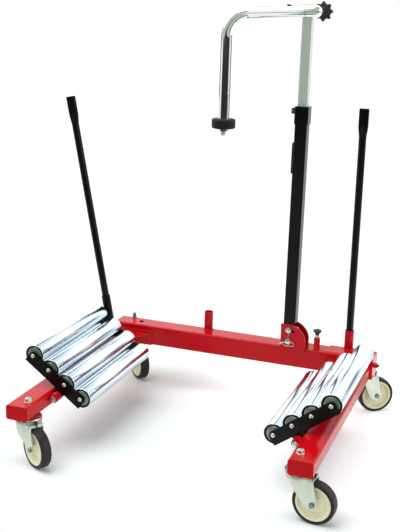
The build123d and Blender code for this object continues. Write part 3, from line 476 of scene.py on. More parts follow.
def fork_leg(side):
    """A leg as a bent sheet between a front and a rear edge. The front edge is a parabola of the height
    above a rounded corner, and the rear edge is straight above a round eye. The sheet's distance from
    the middle goes by a smooth step of the height from flat to the round crown's half chord."""
    low = FRONT_LOW - (FRONT_LOW - LEG_LOW) * np.cos(np.linspace(0.04, math.pi / 2, 9))
    z = np.concatenate([low, np.linspace(FRONT_LOW + 2, CROWN_Z, 20)])[:, None]
    below = (FRONT_LOW - z) / (FRONT_LOW - LEG_LOW)
    corner = TRAIL - LEG_WIDE * np.sqrt(np.clip(1 - below ** 2, 0, None))
    above = z - FRONT_LOW
    front = np.where(above < 0, corner, TRAIL - LEG_WIDE - FRONT_SLOPE * above + FRONT_BOW * above ** 2)
    eye = TRAIL + np.sqrt(np.clip(EYE ** 2 - (z - WHEEL_R) ** 2, 0, None))
    rear = np.where(z < WHEEL_R, eye, TRAIL + EYE * (1 - (z - WHEEL_R) / (CROWN_Z - WHEEL_R)))
    x = front + (rear - front) * np.linspace(0.0, 1.0, 13)
    t = np.clip((z - LEAN_FROM) / LEAN_OVER, 0, 1)
    chord = np.sqrt(np.clip(CROWN_R ** 2 - x ** 2, LEG_FLAT ** 2, None))
    middle = LEG_FLAT + (chord - LEG_FLAT) * t * t * (3 - 2 * t)
    x = np.concatenate([x, x[:, ::-1], x[:, :1]], 1)
    y = np.concatenate([middle + SHEET, middle[:, ::-1] - SHEET, middle[:, :1] + SHEET], 1)
    edge = np.concatenate([middle, middle[:, ::-1], middle[:, :1]], 1)
    y = np.concatenate([edge[:1], y, edge[-1:]])
    rows = np.r_[0, np.arange(len(z)), len(z) - 1]
    return np.stack([x[rows], side * y, np.broadcast_to(z[rows], y.shape)], -1)


def crown():
    """The fork's top: a level plate whose half width is the crown circle's half chord, and behind
    the circle the legs' distance. Its rim is rolled down a little."""
    x = np.concatenate([-CROWN_R * np.cos(np.linspace(0.0, CROWN_TURN, 33)), CROWN_TAIL])
    half = np.sqrt(np.clip(CROWN_R ** 2 - x ** 2, np.where(x < 0, 0.0, LEG_FLAT ** 2), None)) + SHEET
    rim = eased([(0, 1), (1, 1), (1, -1), (-1, -1), (-1, 1), (0, 1)], CROWN_EASE, 4)
    tall = np.broadcast_to(CROWN_HALF * rim[:, 1], (len(x), len(rim)))
    path = np.stack([x, np.zeros(len(x)), np.full(len(x), CROWN_Z)], -1)
    return carried(path, np.stack([np.outer(half, rim[:, 0]), tall], -1), UP)


def axle_bolt():
    """The axle's pin, with a washer and a nut on the outside of each leg."""
    washers = [washer(*AXLE_WASHER, (TRAIL, y, WHEEL_R), ALONG_Y) for y in AXLE_WASHERS]
    nuts = [nut(AXLE_NUT, tall, (TRAIL, y, WHEEL_R), ALONG_Y) for y, tall in AXLE_NUTS]
    return [turned(AXLE_PIN, (TRAIL, 0, WHEEL_R), ALONG_Y), washers[0], nuts[0], washers[1], nuts[1]]


def wheel_ring(half):
    """A turned ring of the wheel from one half of its section, mirrored at the wheel's middle."""
    half = np.array(half, float)
    whole = np.concatenate([half, half[::-1] * (1, -1), half[:1]])
    return turned(whole, (TRAIL, 0, WHEEL_R), ALONG_Y, 96)


for name in CASTERS:
    swivel, wheel = name + "_swivel", name + "_wheel"
    fork = [fork_leg(-1), fork_leg(1), crown(), turned(RACE, (0, 0, RACE_LOW), steps=72)]
    piece(
        name + "_pressed_fork", [on_caster(part, name) for part in fork],
        zinc, swivel, [name + "_fork"],
    )
    piece(
        name + "_race_screw", [on_caster(turned(SCREW, SCREW_AT, steps=24), name)],
        black_plastic, swivel,
    )
    piece(
        name + "_axle_bolt", [on_caster(part, name) for part in axle_bolt()],
        dark_bolt, swivel, [name + "_axle"],
    )
    piece(
        name + "_hub_moulding", [on_caster(wheel_ring(HUB), name)],
        cream_plastic, wheel, [name + "_hub"], WHEEL_CREASE,
    )
    piece(
        name + "_tyre_ring", [on_caster(wheel_ring(SIDEWALL), name)],
        tyre_rubber, wheel, [name + "_tyre"], WHEEL_CREASE,
    )
piece("left_race_caps", [race_cap("fl"), race_cap("rl")], bright_zinc, "frame")
piece("right_race_caps", [race_cap("fr"), race_cap("rr")], bright_zinc, "right_frame")
piece("left_stud_bolts", stud("fl"), bright_zinc, "frame", ["left_studs"])
piece("left_rear_stud_bolt", stud("rl"), dark_bolt, "frame")
piece("right_stud_bolts", stud("fr") + stud("rr"), bright_zinc, "right_frame", ["right_studs"])

# Cradles: two black steel plates each, on a pivot tube between the arm's knuckles,
# hold four chromed steel rollers on pins. The left one has a socket for a lever bar.
PLATE_FRONT, PLATE_BACK, KNUCKLE_FRONT, KNUCKLE_BACK = -611.0, -134.0, -640.0, -105.0
PLATES_APART = PLATE_BACK - PLATE_FRONT
ROLLERS, ROLLER_BORE, ROLLER_PLAY, END_DEEP = 4, 6.3, 0.5, 3.0
END = [(ROLLER_BORE, END_DEEP), (25.6, END_DEEP), (30.2, 2.8), (30.4, 0.8), (30.9, 0.1), (31.4, 0.2),
       (31.8, 0.6), (32.0, 1.4)]
CAP = [(ROLLER_BORE, 3.2), (ROLLER_BORE, -2.2), (9, -2.3), (15, -2.0), (20.5, -1.2), (24.0, 0.2),
       (25.6, 2.0), (25.8, 3.2), (ROLLER_BORE, 3.2)]
SEAL = [(25.6, 2.9), (25.8, 0.7), (26.6, -0.2), (30.4, -0.3), (31.4, 0.2), (31.7, 1.2), (31.7, 2.9),
        (25.6, 2.9)]
PIN = [(0, -4.9), (2.4, -4.8), (4.6, -4.3), (6.2, -3.2), (7.0, -1.6), (7.1, -0.1), (6, -0.1),
       (6, PLATES_APART + 3.6), (5.0, PLATES_APART + 4.8), (0, PLATES_APART + 4.9)]
PIN_NUT, PIVOT_NUT, PIVOT_FRONT_NUT, PIVOT_BACK_NUT = (13, 4.0), 18, 9.0, 9.4
PIVOT = [(0, KNUCKLE_FRONT - 9.8), (6.0, KNUCKLE_FRONT - 9.8), (8, KNUCKLE_FRONT - 8.6),
         (8, KNUCKLE_BACK + 12.6), (6.8, KNUCKLE_BACK + 13.8), (0, KNUCKLE_BACK + 14)]
BLACK = (0.0020, 0.0024, 0.0023, 1.0)
BLACK_WORN = (0.0048, 0.0054, 0.0051, 1.0)
CHROME = (0.90, 0.92, 0.93, 1.0)
CHROME_SHADE = (0.84, 0.87, 0.88, 1.0)
GROUND = (0.73, 0.84, 0.89, 1.0)
GROUND_BLUE = (0.62, 0.75, 0.85, 1.0)
RUBBER = (0.008, 0.008, 0.008, 1.0)
RUBBER_DUSTY = (0.020, 0.020, 0.019, 1.0)
HAZE, TURNING_MARKS = (9.0, 2.0), (300.0, 2.0, (0.3, 4.0, 0.3))

black_paint = mottled(
    "black_paint", (BLACK, BLACK_WORN), coarse=(18.0, 3.0), fine=(700.0, 1.0),
    rough=(0.11, 0.09), bump=(0.10, 0.0005, 0.0020), IOR=1.26,
)
chrome = mottled(
    "chrome", (CHROME_SHADE, CHROME), coarse=HAZE, fine=TURNING_MARKS,
    rough=(0.03, 0.05), bump=(0.02, 0.0002), Metallic=1.0,
)
ground_chrome, start = new_finish("ground_chrome")
haze = grain(start, *HAZE)
turning = grain(start, *TURNING_MARKS)
close_finish(
    start,
    Base_Color=mixed(haze, GROUND_BLUE, GROUND),
    Metallic=1.0,
    Roughness=0.13 + 0.06 * turning,
    Normal=bumped(turning, 0.01, 0.0001),
)
black_rubber = mottled(
    "black_rubber", (RUBBER, RUBBER_DUSTY), coarse=(50.0, 3.0), fine=(1300.0, 2.0),
    rough=(0.50, 0.14), bump=(0.14, 0.0003), IOR=1.30,
)
coat(black_paint, "left_plates", "right_plates", "left_pivot_tube", "right_pivot_tube", "left_socket")


def node_box(name):
    """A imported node's lowest and highest corners in millimetres, in the pieces' frame."""
    low, high = (np.array(corner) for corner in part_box(name))
    return (low - ORIGIN) / MM, (high - ORIGIN) / MM


def both_ends(profile, front, rear, x, z):
    """A turned ring at a roller's front end, and its mirror image at the rear end."""
    profile = np.array(profile)
    rings = [profile + (0, front), profile * (1, -1) + (0, rear)]
    return [turned(ring, (x, 0, z), ALONG_Y, 64) for ring in rings]


for side, body in (("left", "frame"), ("right", "right_frame")):
    pins = []
    for number in range(1, ROLLERS + 1):
        name = f"{side}_roller_{number}"
        low, high = node_box(name)
        x, z = (low[0] + high[0]) / 2, (low[2] + high[2]) / 2
        front, rear = low[1] + ROLLER_PLAY, high[1] - ROLLER_PLAY
        end = np.array(END)
        shell = [end + (0, front), end[::-1] * (1, -1) + (0, rear), [(ROLLER_BORE, front + END_DEEP)]]
        piece(
            name + "_shell", [turned(np.concatenate(shell), (x, 0, z), ALONG_Y, 192)],
            ground_chrome, name, [name],
        )
        piece(name + "_caps", both_ends(CAP, front, rear, x, z), dark_bolt, name)
        piece(name + "_seals", both_ends(SEAL, front, rear, x, z), black_rubber, name)
        pins += [turned(PIN, (x, PLATE_FRONT, z), ALONG_Y, 40), nut(*PIN_NUT, (x, PLATE_BACK, z), ALONG_Y)]
    piece(side + "_roller_pins", pins, bright_zinc, side + "_cradle", [side + "_shafts"])
    low, high = node_box(side + "_pivot_shaft")
    x, z = (low[0] + high[0]) / 2, (low[2] + high[2]) / 2
    pivot = [turned(PIVOT, (x, 0, z), ALONG_Y, 40),
             nut(PIVOT_NUT, PIVOT_FRONT_NUT, (x, KNUCKLE_FRONT - PIVOT_FRONT_NUT, z), ALONG_Y),
             nut(PIVOT_NUT, PIVOT_BACK_NUT, (x, KNUCKLE_BACK, z), ALONG_Y)]
    piece(side + "_pivot_bolt", pivot, bright_zinc, body, [side + "_pivot_shaft"])

# Lever bars: two steel tubes, flattened at the top for the hand and painted black. One
# stands in the right holder and the other in the left cradle's socket, to tilt it.
LEVER_R, LEVER_LONG, NECK_LOW, NECK_HIGH = 12.7, 843.0, 744.0, 786.0
FLAT_WIDE, FLAT_THICK, FLAT_SQUARE = 33.0, 15.0, 2.4
LEVER_LOW, LEVER_TOP = (0, 2, 250, 500), (815, 838, 841.5, 842.7, LEVER_LONG)
ROUNDED_AT, ROUNDED_BY = (0, 2, 840, 841.5, 842.7, LEVER_LONG), (0.9, 1, 1, 0.985, 0.95, 0.88)
SOCKET_FOOT, SOCKET_LEAN = (-451.5, -118.5, 246.0), math.radians(-10.5)


def lever(base, lean):
    """A round bar whose section eases from a circle to a flat rounded bar: half widths and the
    section's squareness follow a smooth step between the neck's two heights."""
    tall = np.array([*LEVER_LOW, *np.linspace(NECK_LOW, NECK_HIGH, 13), *LEVER_TOP])
    t = np.clip((tall - NECK_LOW) / (NECK_HIGH - NECK_LOW), 0, 1)
    t = (t * t * (3 - 2 * t))[:, None]
    end = np.interp(tall, ROUNDED_AT, ROUNDED_BY)[:, None]
    turn = np.linspace(0.0, 2.0 * math.pi, 49)
    power = 2 / (2 + FLAT_SQUARE * t)
    c, s = np.cos(turn), np.sin(turn)
    wide = end * (LEVER_R + t * (FLAT_WIDE / 2 - LEVER_R)) * np.sign(c) * np.abs(c) ** power
    thick = end * (LEVER_R + t * (FLAT_THICK / 2 - LEVER_R)) * np.sign(s) * np.abs(s) ** power
    up = np.array([math.sin(lean), 0.0, math.cos(lean)])
    return carried(np.array(base) + tall[:, None] * up, np.stack([wide, -thick], -1), ALONG_Y)


piece(
    "right_lever_bar", [lever((HOLDERS["right"][0], HOLDER_Y, SADDLE_TOP), 0.0)],
    black_paint, "right_lever", ["right_lever"],
)
piece(
    "left_lever_bar", [lever(SOCKET_FOOT, SOCKET_LEAN)],
    black_paint, "left_lever", ["left_lever"],
)

# Mast: a black square tube that stands between the bracket plates on two bolts, with
# a collar, a clamp screw and a bent rail at its side. A wire clip holds the lower bolt.
MAST_X, MAST_Z, MAST_LEAN, MAST_MID_Y = 187.0, 248.5, math.radians(0.5), 21.3
BOLT_FACE, BOLT_BACK, BOLT_APART = -5.3, 47.9, 42.0
SHANK = [(0, BOLT_FACE), (5, BOLT_FACE), (5, BOLT_BACK + 9), (4.2, BOLT_BACK + 9.9), (0, BOLT_BACK + 10)]
HEAD_FLANGE = [(0, 0), (10.2, 0), (10.6, -0.5), (10.4, -1.4), (9.0, -1.9), (0, -1.9)]
HEAD_DOME, HEAD_ACROSS = [(9.8, -1.8), (9.8, -4.6), (8.6, -5.7), (6.0, -6.5), (0, -6.7)], 16.0
BOLT_WASHER, BOLT_NUT = (10.5, 1.4), (17, 6.4)
CLIP = [(-28, -5.6), (-10, -4.4), (9, -3.2), (15, 0.2), (22, -2.4), (23.4, -8.4), (20, -14.0),
        (12.6, -15.4), (6, -13.6), (-2, -16.4), (-9, -15.2), (-15, -10.8), (-22, -9.6), (-28.5, -11.8)]
LINK = [(2.2, 33.4), (4.6, 27.0), (-0.8, 20.6), (3.2, 14.4), (1.0, 9.4)]
CLIP_Y, CLIP_R, CLIP_EASE = BOLT_FACE - 4.0, 1.0, 2.4
LINK_Y, LINK_R, LINK_EASE = BOLT_FACE - 2.8, 0.7, 2.6
CLAMP = [(0, -1, 0), (3.8, -1, 0), (4.0, 0.0, 0), (4.0, 9.0, 0), (5.0, 9.8, 0), (9.6, 10.0, 1),
         (11.2, 11.2, 1), (11.5, 14, 1), (11.5, 18, 1), (10.6, 20.8, 1), (8.0, 22.2, 0.7), (4.0, 22.7, 0),
         (0, 22.7, 0)]
CLAMP_AT, CLAMP_AXIS, CLAMP_LOBES, CLAMP_DEPTH = (-16.3, MAST_MID_Y, 808.0), (-1.0, 0.0, 0.0), 6, 0.30
coat(black_paint, "mast_tube", "collar", "side_rail")


def on_mast(grid):
    """Points of the mast's own upright frame, which starts at the pivot bolt, leaned and put in place."""
    c, s = math.cos(MAST_LEAN), math.sin(MAST_LEAN)
    across, deep, height = grid[..., 0], grid[..., 1], grid[..., 2]
    return np.stack([MAST_X + c * across + s * height, deep, MAST_Z - s * across + c * height], -1)


def level_wire(points, y, radius, ease, sides):
    """A round wire bent in one upright plane: (across, height) points with eased corners."""
    line = eased([(x, y, z) for x, z in points], ease, 5)
    return carried(line, round_section(radius, sides), ALONG_Y)


bolts = []
for z in (0.0, BOLT_APART):
    bolts += [turned(SHANK, (0, 0, z), ALONG_Y), turned(HEAD_FLANGE, (0, BOLT_FACE, z), ALONG_Y),
              hexed(HEAD_DOME, HEAD_ACROSS, (0, BOLT_FACE, z), ALONG_Y),
              washer(*BOLT_WASHER, (0, BOLT_BACK, z), ALONG_Y),
              nut(*BOLT_NUT, (0, BOLT_BACK + BOLT_WASHER[1], z), ALONG_Y)]
piece("mast_bolt_set", [on_mast(part) for part in bolts], bright_zinc, "mast", ["mast_bolts"])
wires = [level_wire(CLIP, CLIP_Y, CLIP_R, CLIP_EASE, 10), level_wire(LINK, LINK_Y, LINK_R, LINK_EASE, 8)]
piece("bolt_clip_wire", [on_mast(part) for part in wires], bright_zinc, "mast")
piece(
    "clamp_knob", [on_mast(lobed(CLAMP, CLAMP_AT, CLAMP_AXIS, CLAMP_LOBES, CLAMP_DEPTH))],
    black_plastic, "collar_knob", ["collar_knob"],
)

# Inner tube: bright galvanised square tube that slides in the mast. The cross sleeve is
# welded to its top and holds the hook's rod, which a star knob clamps from behind.
ROD_Z, ROD_R, SLEEVE_R, STAR_X = 1129.4, 19.0, 23.0, 38.0
RISE = math.radians(3.0)
ROD_AXIS = np.array([math.cos(RISE), 0.0, math.sin(RISE)])
SLEEVE_LEFT, SLEEVE_STRAIGHT, SLEEVE_RIGHT, SLEEVE_BORE = -29.0, 14.0, 46.0, 19.2
MOUTH = [(SLEEVE_BORE, 0.0), (SLEEVE_BORE, SLEEVE_LEFT), (SLEEVE_R - 0.6, SLEEVE_LEFT),
         (SLEEVE_R, SLEEVE_LEFT + 0.6)]
BOSS = [(0, 6.0), (8.0, 6.0), (8.0, SLEEVE_R + 2.4), (7.4, SLEEVE_R + 3), (0, SLEEVE_R + 3)]
# Painted shade: a thin black band round the sleeve, which stands for the dark line of shade at a gap.
SHADE_RING = [(22.0, -0.9), (23.2, -0.9), (23.4, -0.4), (23.4, 0.4), (23.2, 0.9), (22.0, 0.9), (22.0, -0.9)]
SHADE_RING_X = -7.0
STAR = [(0, 0, 0), (6, 0, 0), (9, 0.4, 0), (13, 3.0, 0.1), (23, 4.4, 0.6), (31, 5.4, 1), (32.8, 7.4, 1),
        (33, 12, 1), (32.8, 17, 1), (30.4, 20.2, 1), (23, 21.4, 0.6), (13, 21.8, 0.1), (0, 22, 0)]
STAR_OFF, STAR_LOBES, STAR_DEPTH = SLEEVE_R + 8, 8, 0.24
STAR_SCREW = [(0, 0), (4.4, 0), (5, 0.6), (5, 13.0), (0, 13.0)]
GALVANISED = (0.57, 0.66, 0.57, 1.0)
GALVANISED_BRIGHT = (0.69, 0.76, 0.69, 1.0)

galvanised, start = new_finish("galvanised")
where = start.node("ShaderNodeTexCoord", output="Object")
spangle = start.node("ShaderNodeTexVoronoi", {}, {"Vector": where, "Scale": 260.0})
drawn = grain(start, 160.0, 3.0, (6.0, 6.0, 0.15))
close_finish(
    start,
    Base_Color=mixed(0.35 * spangle + 0.65 * drawn, GALVANISED, GALVANISED_BRIGHT),
    Metallic=0.45,
    Roughness=0.22 + 0.16 * drawn,
    Normal=bumped(drawn, 0.05, 0.0003, 0.003),
)
coat(galvanised, "inner_tube")


def on_rod(along):
    """A point of the hook rod's axis, in the mast's frame: the axis rises a little to the right."""
    return np.array([0.0, MAST_MID_Y, ROD_Z]) + along * ROD_AXIS


quarter = np.linspace(0.0, math.pi / 2, 15)
rounded = SLEEVE_STRAIGHT + (SLEEVE_RIGHT - SLEEVE_STRAIGHT) * np.sin(quarter)
sleeve = np.concatenate([MOUTH, np.stack([SLEEVE_R * np.cos(quarter), rounded], -1)])
piece(
    "sleeve_shell",
    [on_mast(turned(sleeve, on_rod(0.0), ROD_AXIS, 96)), on_mast(turned(BOSS, on_rod(STAR_X), ALONG_Y, 40))],
    chrome, "inner_mast", ["sleeve"],
)
# The thin black band round the sleeve is painted shade for the dark line at a gap, not a part of its own.
piece(
    "sleeve_shade_ring", [on_mast(turned(SHADE_RING, on_rod(SHADE_RING_X), ROD_AXIS, 64))],
    black_plastic, "inner_mast",
)
knob = lobed(STAR, on_rod(STAR_X) + (0.0, STAR_OFF, 0.0), ALONG_Y, STAR_LOBES, STAR_DEPTH)
screw = turned(STAR_SCREW, on_rod(STAR_X) + (0.0, ROD_R + 0.3, 0.0), ALONG_Y)
piece(
    "star_knob_moulding", [on_mast(knob), on_mast(screw)],
    black_plastic, "star_knob", ["star_knob"],
)

# Hook: a chromed tube bent to a right angle, narrower where it sits in the sleeve and the
# bumper, with a stop screw on top and a black rubber bumper held by a nut at its lower end.
BEND_R, TUBE_R, ROD_END, SHOULDER = 88.0, 20.9, 12.0, SLEEVE_LEFT - 0.6
LEG_X, LEG_SHOULDER, LEG_END = -279.7, 752.0, 722.0
ROUND_END, ROUND_SHOULDER = 1.2, 0.8
STOP = [(0, 0), (6.6, 0), (7.2, 0.5), (7.2, 3.2), (6.4, 4.0), (2.6, 4.0), (2.4, 2.2), (0, 2.2)]
STOP_X = -67.0
PAD = [(18.6, 0), (34, 0), (38.5, 1.2), (40.9, 4.0), (41.5, 8), (41.5, 15.6), (40.9, 16.2), (40.9, 17.6),
       (41.5, 18.2), (41.5, 26), (40.9, 30), (38.5, 32.8), (34, 34), (18.6, 34), (18.6, 0)]
TIP = [(0, 0), (4.6, 0.4), (7.6, 2.2), (9.0, 5.0), (9.2, 8.0), (9.2, 18.0), (12.6, 18.4), (13.0, 19.0),
       (13.0, 27.2), (0, 27.2)]
PAD_LOW, TIP_LOW = 730.5, 704.0
bend_turn = math.pi / 2 - RISE
bend_corner = np.array([LEG_X, ROD_Z + LEG_X * math.tan(RISE)])
bend_start = bend_corner + BEND_R * math.tan(bend_turn / 2) * ROD_AXIS[[0, 2]]
arc = RISE + np.linspace(0.0, bend_turn, 25)
bend = bend_start + BEND_R * np.stack([math.sin(RISE) - np.sin(arc), np.cos(arc) - math.cos(RISE)], -1)
along = np.array([ROD_END, ROD_END - ROUND_END, SHOULDER, SHOULDER - 0.4, SHOULDER - 1.2])
inside = on_rod(along[:, None])[:, [0, 2]]
line = np.concatenate([inside, np.linspace(inside[-1], bend[0], 8)[1:], bend[1:],
                       np.linspace(bend[-1], (LEG_X, LEG_SHOULDER), 8)[1:],
                       [(LEG_X, LEG_SHOULDER - 0.5), (LEG_X, LEG_END)]])
rod_path = np.stack([line[:, 0], np.full(len(line), MAST_MID_Y), line[:, 1]], -1)
rod_radius = np.full(len(line), TUBE_R)
rod_radius[:4] = ROD_R - ROUND_END, ROD_R, ROD_R, TUBE_R - ROUND_SHOULDER
rod_radius[-2:] = ROD_R
piece(
    "hook_tube", [on_mast(carried(rod_path, round_section(rod_radius, 64), ALONG_Y))],
    chrome, "hook", ["hook_rod"],
)
piece(
    "hook_stop_screw", [on_mast(turned(STOP, on_rod(STOP_X) + (0.0, 0.0, TUBE_R - 0.6)))],
    black_plastic, "hook",
)
piece(
    "bumper_pad", [on_mast(turned(PAD, (LEG_X, MAST_MID_Y, PAD_LOW), steps=80))],
    black_rubber, "hook", ["bumper"],
)
piece(
    "tip_cap", [on_mast(turned(TIP, (LEG_X, MAST_MID_Y, TIP_LOW)))],
    bright_zinc, "hook", ["tip_nut"],
)

# Sliding tube: a plain square steel tube, zinc plated, fixed in the right stub. It slides
# in the beam to set the width. A black bolt end stands in the boss on the stub's end.
BOLT_END = [(0, -3), (5.4, -3), (5.4, 4.2), (4.4, 5.4), (2.2, 5.8), (0, 5.8)]
BOSS_END = (506.0, 14.0, 201.0)
coat(zinc, "slide_tube")
piece(
    "boss_bolt_end", [turned(BOLT_END, BOSS_END, ALONG_X, 32)],
    black_plastic, "right_frame",
)

# Floor: a white sheet that keeps the object's soft shadow and reaches far back. In front
# it ends a little before the arms, as a roll of studio paper does. It glows a little to
# gloss and the camera, and more behind the beam and beside the right arm.
FLOOR_LEFT, FLOOR_RIGHT, FLOOR_FRONT, FLOOR_BACK = -12.0, 4.0, -1.05, 14.0
FLOOR_WHITE = (0.88, 0.94, 0.94, 1.0)
GLOW = (0.06, 0.06, 0.06, 1.0)
GLOW_LIT = (0.45, 0.45, 0.45, 1.0)
BEAM_GLOW_X, BEAM_GLOW_Y = (-0.25, 0.10), (0.0, 0.60, 0.14)
RIGHT_GLOW_X, RIGHT_GLOW_Y = (0.40, 0.52), (-0.58, 0.10, 0.12)


def seen_rays(start):
    """1 for the rays that show the surround: from the camera, from gloss and through clear pieces.
    Beside it comes 1 for the camera's rays alone."""
    kinds = ("Camera", "Glossy", "Transmission")
    camera, gloss, clear = (start.node("ShaderNodeLightPath", output=f"Is {kind} Ray") for kind in kinds)
    seen = start.node("ShaderNodeMath", {"operation": "MAXIMUM"}, {0: camera, 1: gloss})
    return start.node("ShaderNodeMath", {"operation": "MAXIMUM"}, {0: seen, 1: clear}), camera


def step_up(value, low, high, bottom=0.0, top=1.0):
    """A smooth step of a value between two limits."""
    ends = {"Value": value, "From Min": low, "From Max": high, "To Min": bottom, "To Max": top}
    return value.node("ShaderNodeMapRange", {"interpolation_type": "SMOOTHSTEP"}, ends)


def step_down(value, low, high):
    """A smooth step from 1 to 0 between two limits."""
    return step_up(value, low, high, 1.0, 0.0)


def band(value, low, high, soft, shift=0.0):
    """1 between two limits, both moved by shift, and 0 outside, with soft edges of that width."""
    low, high = low + shift, high + shift
    return step_up(value, low - soft, low) * step_down(value, high, high + soft)


floor_finish, start = new_finish("floor")
seen, _ = seen_rays(start)
matt = start.node("ShaderNodeBsdfDiffuse", {}, {"Color": FLOOR_WHITE})
where = start.node("ShaderNodeTexCoord", output="Object")
along_x, along_y = (start.node("ShaderNodeSeparateXYZ", {}, {0: where}, axis) for axis in "XY")
at_beam = step_up(along_x, *BEAM_GLOW_X) * band(along_y, *BEAM_GLOW_Y, ORIGIN[1])
at_right = step_up(along_x, *RIGHT_GLOW_X) * band(along_y, *RIGHT_GLOW_Y, ORIGIN[1])
lit = mixed(at_beam + at_right, GLOW, GLOW_LIT)
glow = start.node("ShaderNodeEmission", {}, {"Color": lit, "Strength": seen})
surface = start.node("ShaderNodeAddShader", {}, {0: matt, 1: glow})
start.node("ShaderNodeOutputMaterial", {}, {"Surface": surface})
floor_x, floor_y = np.linspace(FLOOR_LEFT, FLOOR_RIGHT, 3), np.linspace(FLOOR_FRONT, FLOOR_BACK, 3)
floor_x, floor_y = np.meshgrid(floor_x, floor_y, indexing="ij")
number = np.arange(9).reshape(3, 3)
sheet = np.stack([number[:-1, :-1], number[1:, :-1], number[1:, 1:], number[:-1, 1:]], -1).reshape(-1, 4)
points = np.stack([floor_x, floor_y + ORIGIN[1], np.zeros((3, 3))], -1).reshape(-1, 3)
mesh = bpy.data.meshes.new("floor")
mesh.from_pydata(points.tolist(), [], sheet.tolist())
mesh.materials.append(floor_finish)
floor = bpy.data.objects.new("floor", mesh)
bpy.context.scene.collection.objects.link(floor)

# Studio light: a wide lamp overhead and a lower one from the right, in a pale room.
# Gloss shows the room: a bright backdrop with two gaps in it, dark wings at the sides,
# and on the camera's side a green-grey screen with a dark band below eye height.
AMBIENT, BACKDROP, GAP, WING, SOFT_WING, BEHIND = 0.40, 1.55, 0.12, 0.20, 0.18, 0.03
WHITE = (1.0, 1.0, 1.0, 1.0)
SCREEN = (0.47, 0.53, 0.43, 1.0)
TO_CAMERA, TO_RIGHT, TO_EDGE = (0.312, -0.950, 0.0), (0.950, 0.312, 0.0), (0.0, -1.0, 1.0)
BACK_STEP, RIGHT_STEP, LOW_STEP, BACKDROP_STEP = (-0.25, 0.25), (-0.1, 0.1), (0.17, 0.27), (0.60, 0.72)
LOW_GAP = (-0.28, -0.13, 0.05), (0.385, 0.452, 0.02)
HIGH_GAP = (-0.36, -0.22, 0.03), (0.62, 0.76, 0.04)
RIGHT_WING, SOFT_RIGHT_WING = (-0.55, -0.05, 0.04), (-0.75, -0.62, 0.03)
LEFT_WING, LEFT_WING_TALL = (-0.70, -0.10, 0.05), (-0.30, 0.20, 0.06)
BEHIND_STEP, BEHIND_TALL = (0.36, 0.50), (-0.15, -0.035, 0.015)
ROD_STRIP, SCREEN_STEP, SCREEN_SLIT = (-0.350, -0.250, 0.006), (-0.05, 0.10), (-0.17, -0.035, 0.015)
EDGE_STEP, EDGE_STRIP = (-0.36, -0.26), (-0.20, 0.10, 0.03)
LAMPS = {"overhead": ((-0.32, -0.20, 1.0), 2.15, 56.0), "right_side": ((1.0, 0.1, 0.35), 1.0, 40.0)}

world = bpy.data.worlds.new("studio")
bpy.context.scene.world = world
world.use_nodes = True
world.node_tree.nodes.clear()
start = Socket(world.node_tree)
seen, camera_ray = seen_rays(start)
aim = start.node("ShaderNodeTexCoord", output="Generated")


def share(direction):
    """How far the view in the room goes along a direction: their dot product."""
    return start.node("ShaderNodeVectorMath", {"operation": "DOT_PRODUCT"}, {0: aim, 1: direction}, "Value")


toward, aside, across, height = share(TO_CAMERA), share(TO_RIGHT), share(ALONG_X), share(UP)
at_back = step_down(toward, *BACK_STEP)
at_right_side = step_up(aside, *RIGHT_STEP)
low_right = step_down(height, *LOW_STEP) * at_right_side
off_rod = 1.0 - band(across, *ROD_STRIP)
gaps = [band(across, *wide) * band(height, *tall) for wide, tall in (LOW_GAP, HIGH_GAP)]
left_wing = band(height, *LEFT_WING_TALL) * (1.0 - at_right_side) * band(toward, *LEFT_WING)
zones = (
    (at_back * (gaps[0] + gaps[1]), GAP),
    (low_right * band(toward, *RIGHT_WING) + left_wing, WING),
    (low_right * band(toward, *SOFT_RIGHT_WING), SOFT_WING),
    (step_up(toward, *BEHIND_STEP) * band(height, *BEHIND_TALL), BEHIND),
    (off_rod * step_down(height, *EDGE_STEP) * band(share(TO_EDGE), *EDGE_STRIP), WING),
)
room = 1.0 + (BACKDROP - 1.0) * at_back * step_down(height, *BACKDROP_STEP)
for zone, brightness in zones:
    room = room * (1.0 - (1.0 - brightness) * zone)
shown = camera_ray + (1.0 - camera_ray) * room
strength = AMBIENT + seen * (shown - AMBIENT)
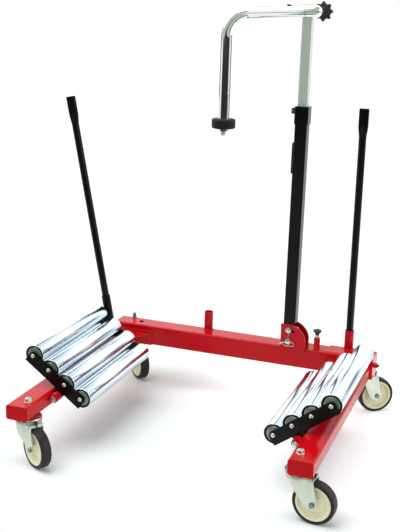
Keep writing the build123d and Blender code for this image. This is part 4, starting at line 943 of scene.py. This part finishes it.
screen = step_up(toward, *SCREEN_STEP) * off_rod * (1.0 - band(height, *SCREEN_SLIT))
tint = mixed(screen * seen * (1.0 - camera_ray), WHITE, SCREEN)
surround = start.node("ShaderNodeBackground", {}, {"Color": tint, "Strength": strength})
start.node("ShaderNodeOutputWorld", {}, {"Surface": surround})

for name, (direction, power, wide) in LAMPS.items():
    lamp = bpy.data.lights.new(name, "SUN")
    lamp.energy = power
    lamp.angle = math.radians(wide)
    made = bpy.data.objects.new(name, lamp)
    to_lamp = np.array(direction) / np.linalg.norm(direction)
    side = np.cross(ALONG_Y, to_lamp)
    side /= np.linalg.norm(side)
    rows = np.eye(4)
    rows[:3, :3] = np.stack([side, np.cross(to_lamp, side), to_lamp], -1)
    made.matrix_world = Matrix(rows.tolist())
    bpy.context.scene.collection.objects.link(made)

# Camera: it stands to the right of the middle, at about the hook's height, and looks a
# little down, with the reach of view that the photograph's frame of 400 by 532 has.
FRAME_TALL, FOCAL, SENSOR = 532.0, 941.29, 36.0
YAW, PITCH, ROLL = (math.radians(angle) for angle in (20.80, 15.59, 1.24))
STAND = np.array([1007.68, -3057.0, 1396.45])
ahead = np.array([-math.sin(YAW) * math.cos(PITCH), math.cos(YAW) * math.cos(PITCH), -math.sin(PITCH)])
level = np.array([math.cos(YAW), math.sin(YAW), 0.0])
rise = np.cross(level, ahead)
to_right = math.cos(ROLL) * level + math.sin(ROLL) * rise
to_top = math.cos(ROLL) * rise - math.sin(ROLL) * level
rows = np.eye(4)
rows[:3] = np.column_stack([to_right, to_top, -ahead, STAND * MM + ORIGIN])
camera_data = bpy.data.cameras.new("camera")
camera_data.sensor_fit = "VERTICAL"
camera_data.sensor_width = SENSOR
camera_data.sensor_height = SENSOR
camera_data.lens = FOCAL / FRAME_TALL * SENSOR
camera = bpy.data.objects.new("camera", camera_data)
camera.matrix_world = Matrix(rows.tolist())
bpy.context.scene.collection.objects.link(camera)
bpy.context.scene.camera = camera
bpy.context.scene.view_settings.view_transform = "Standard"
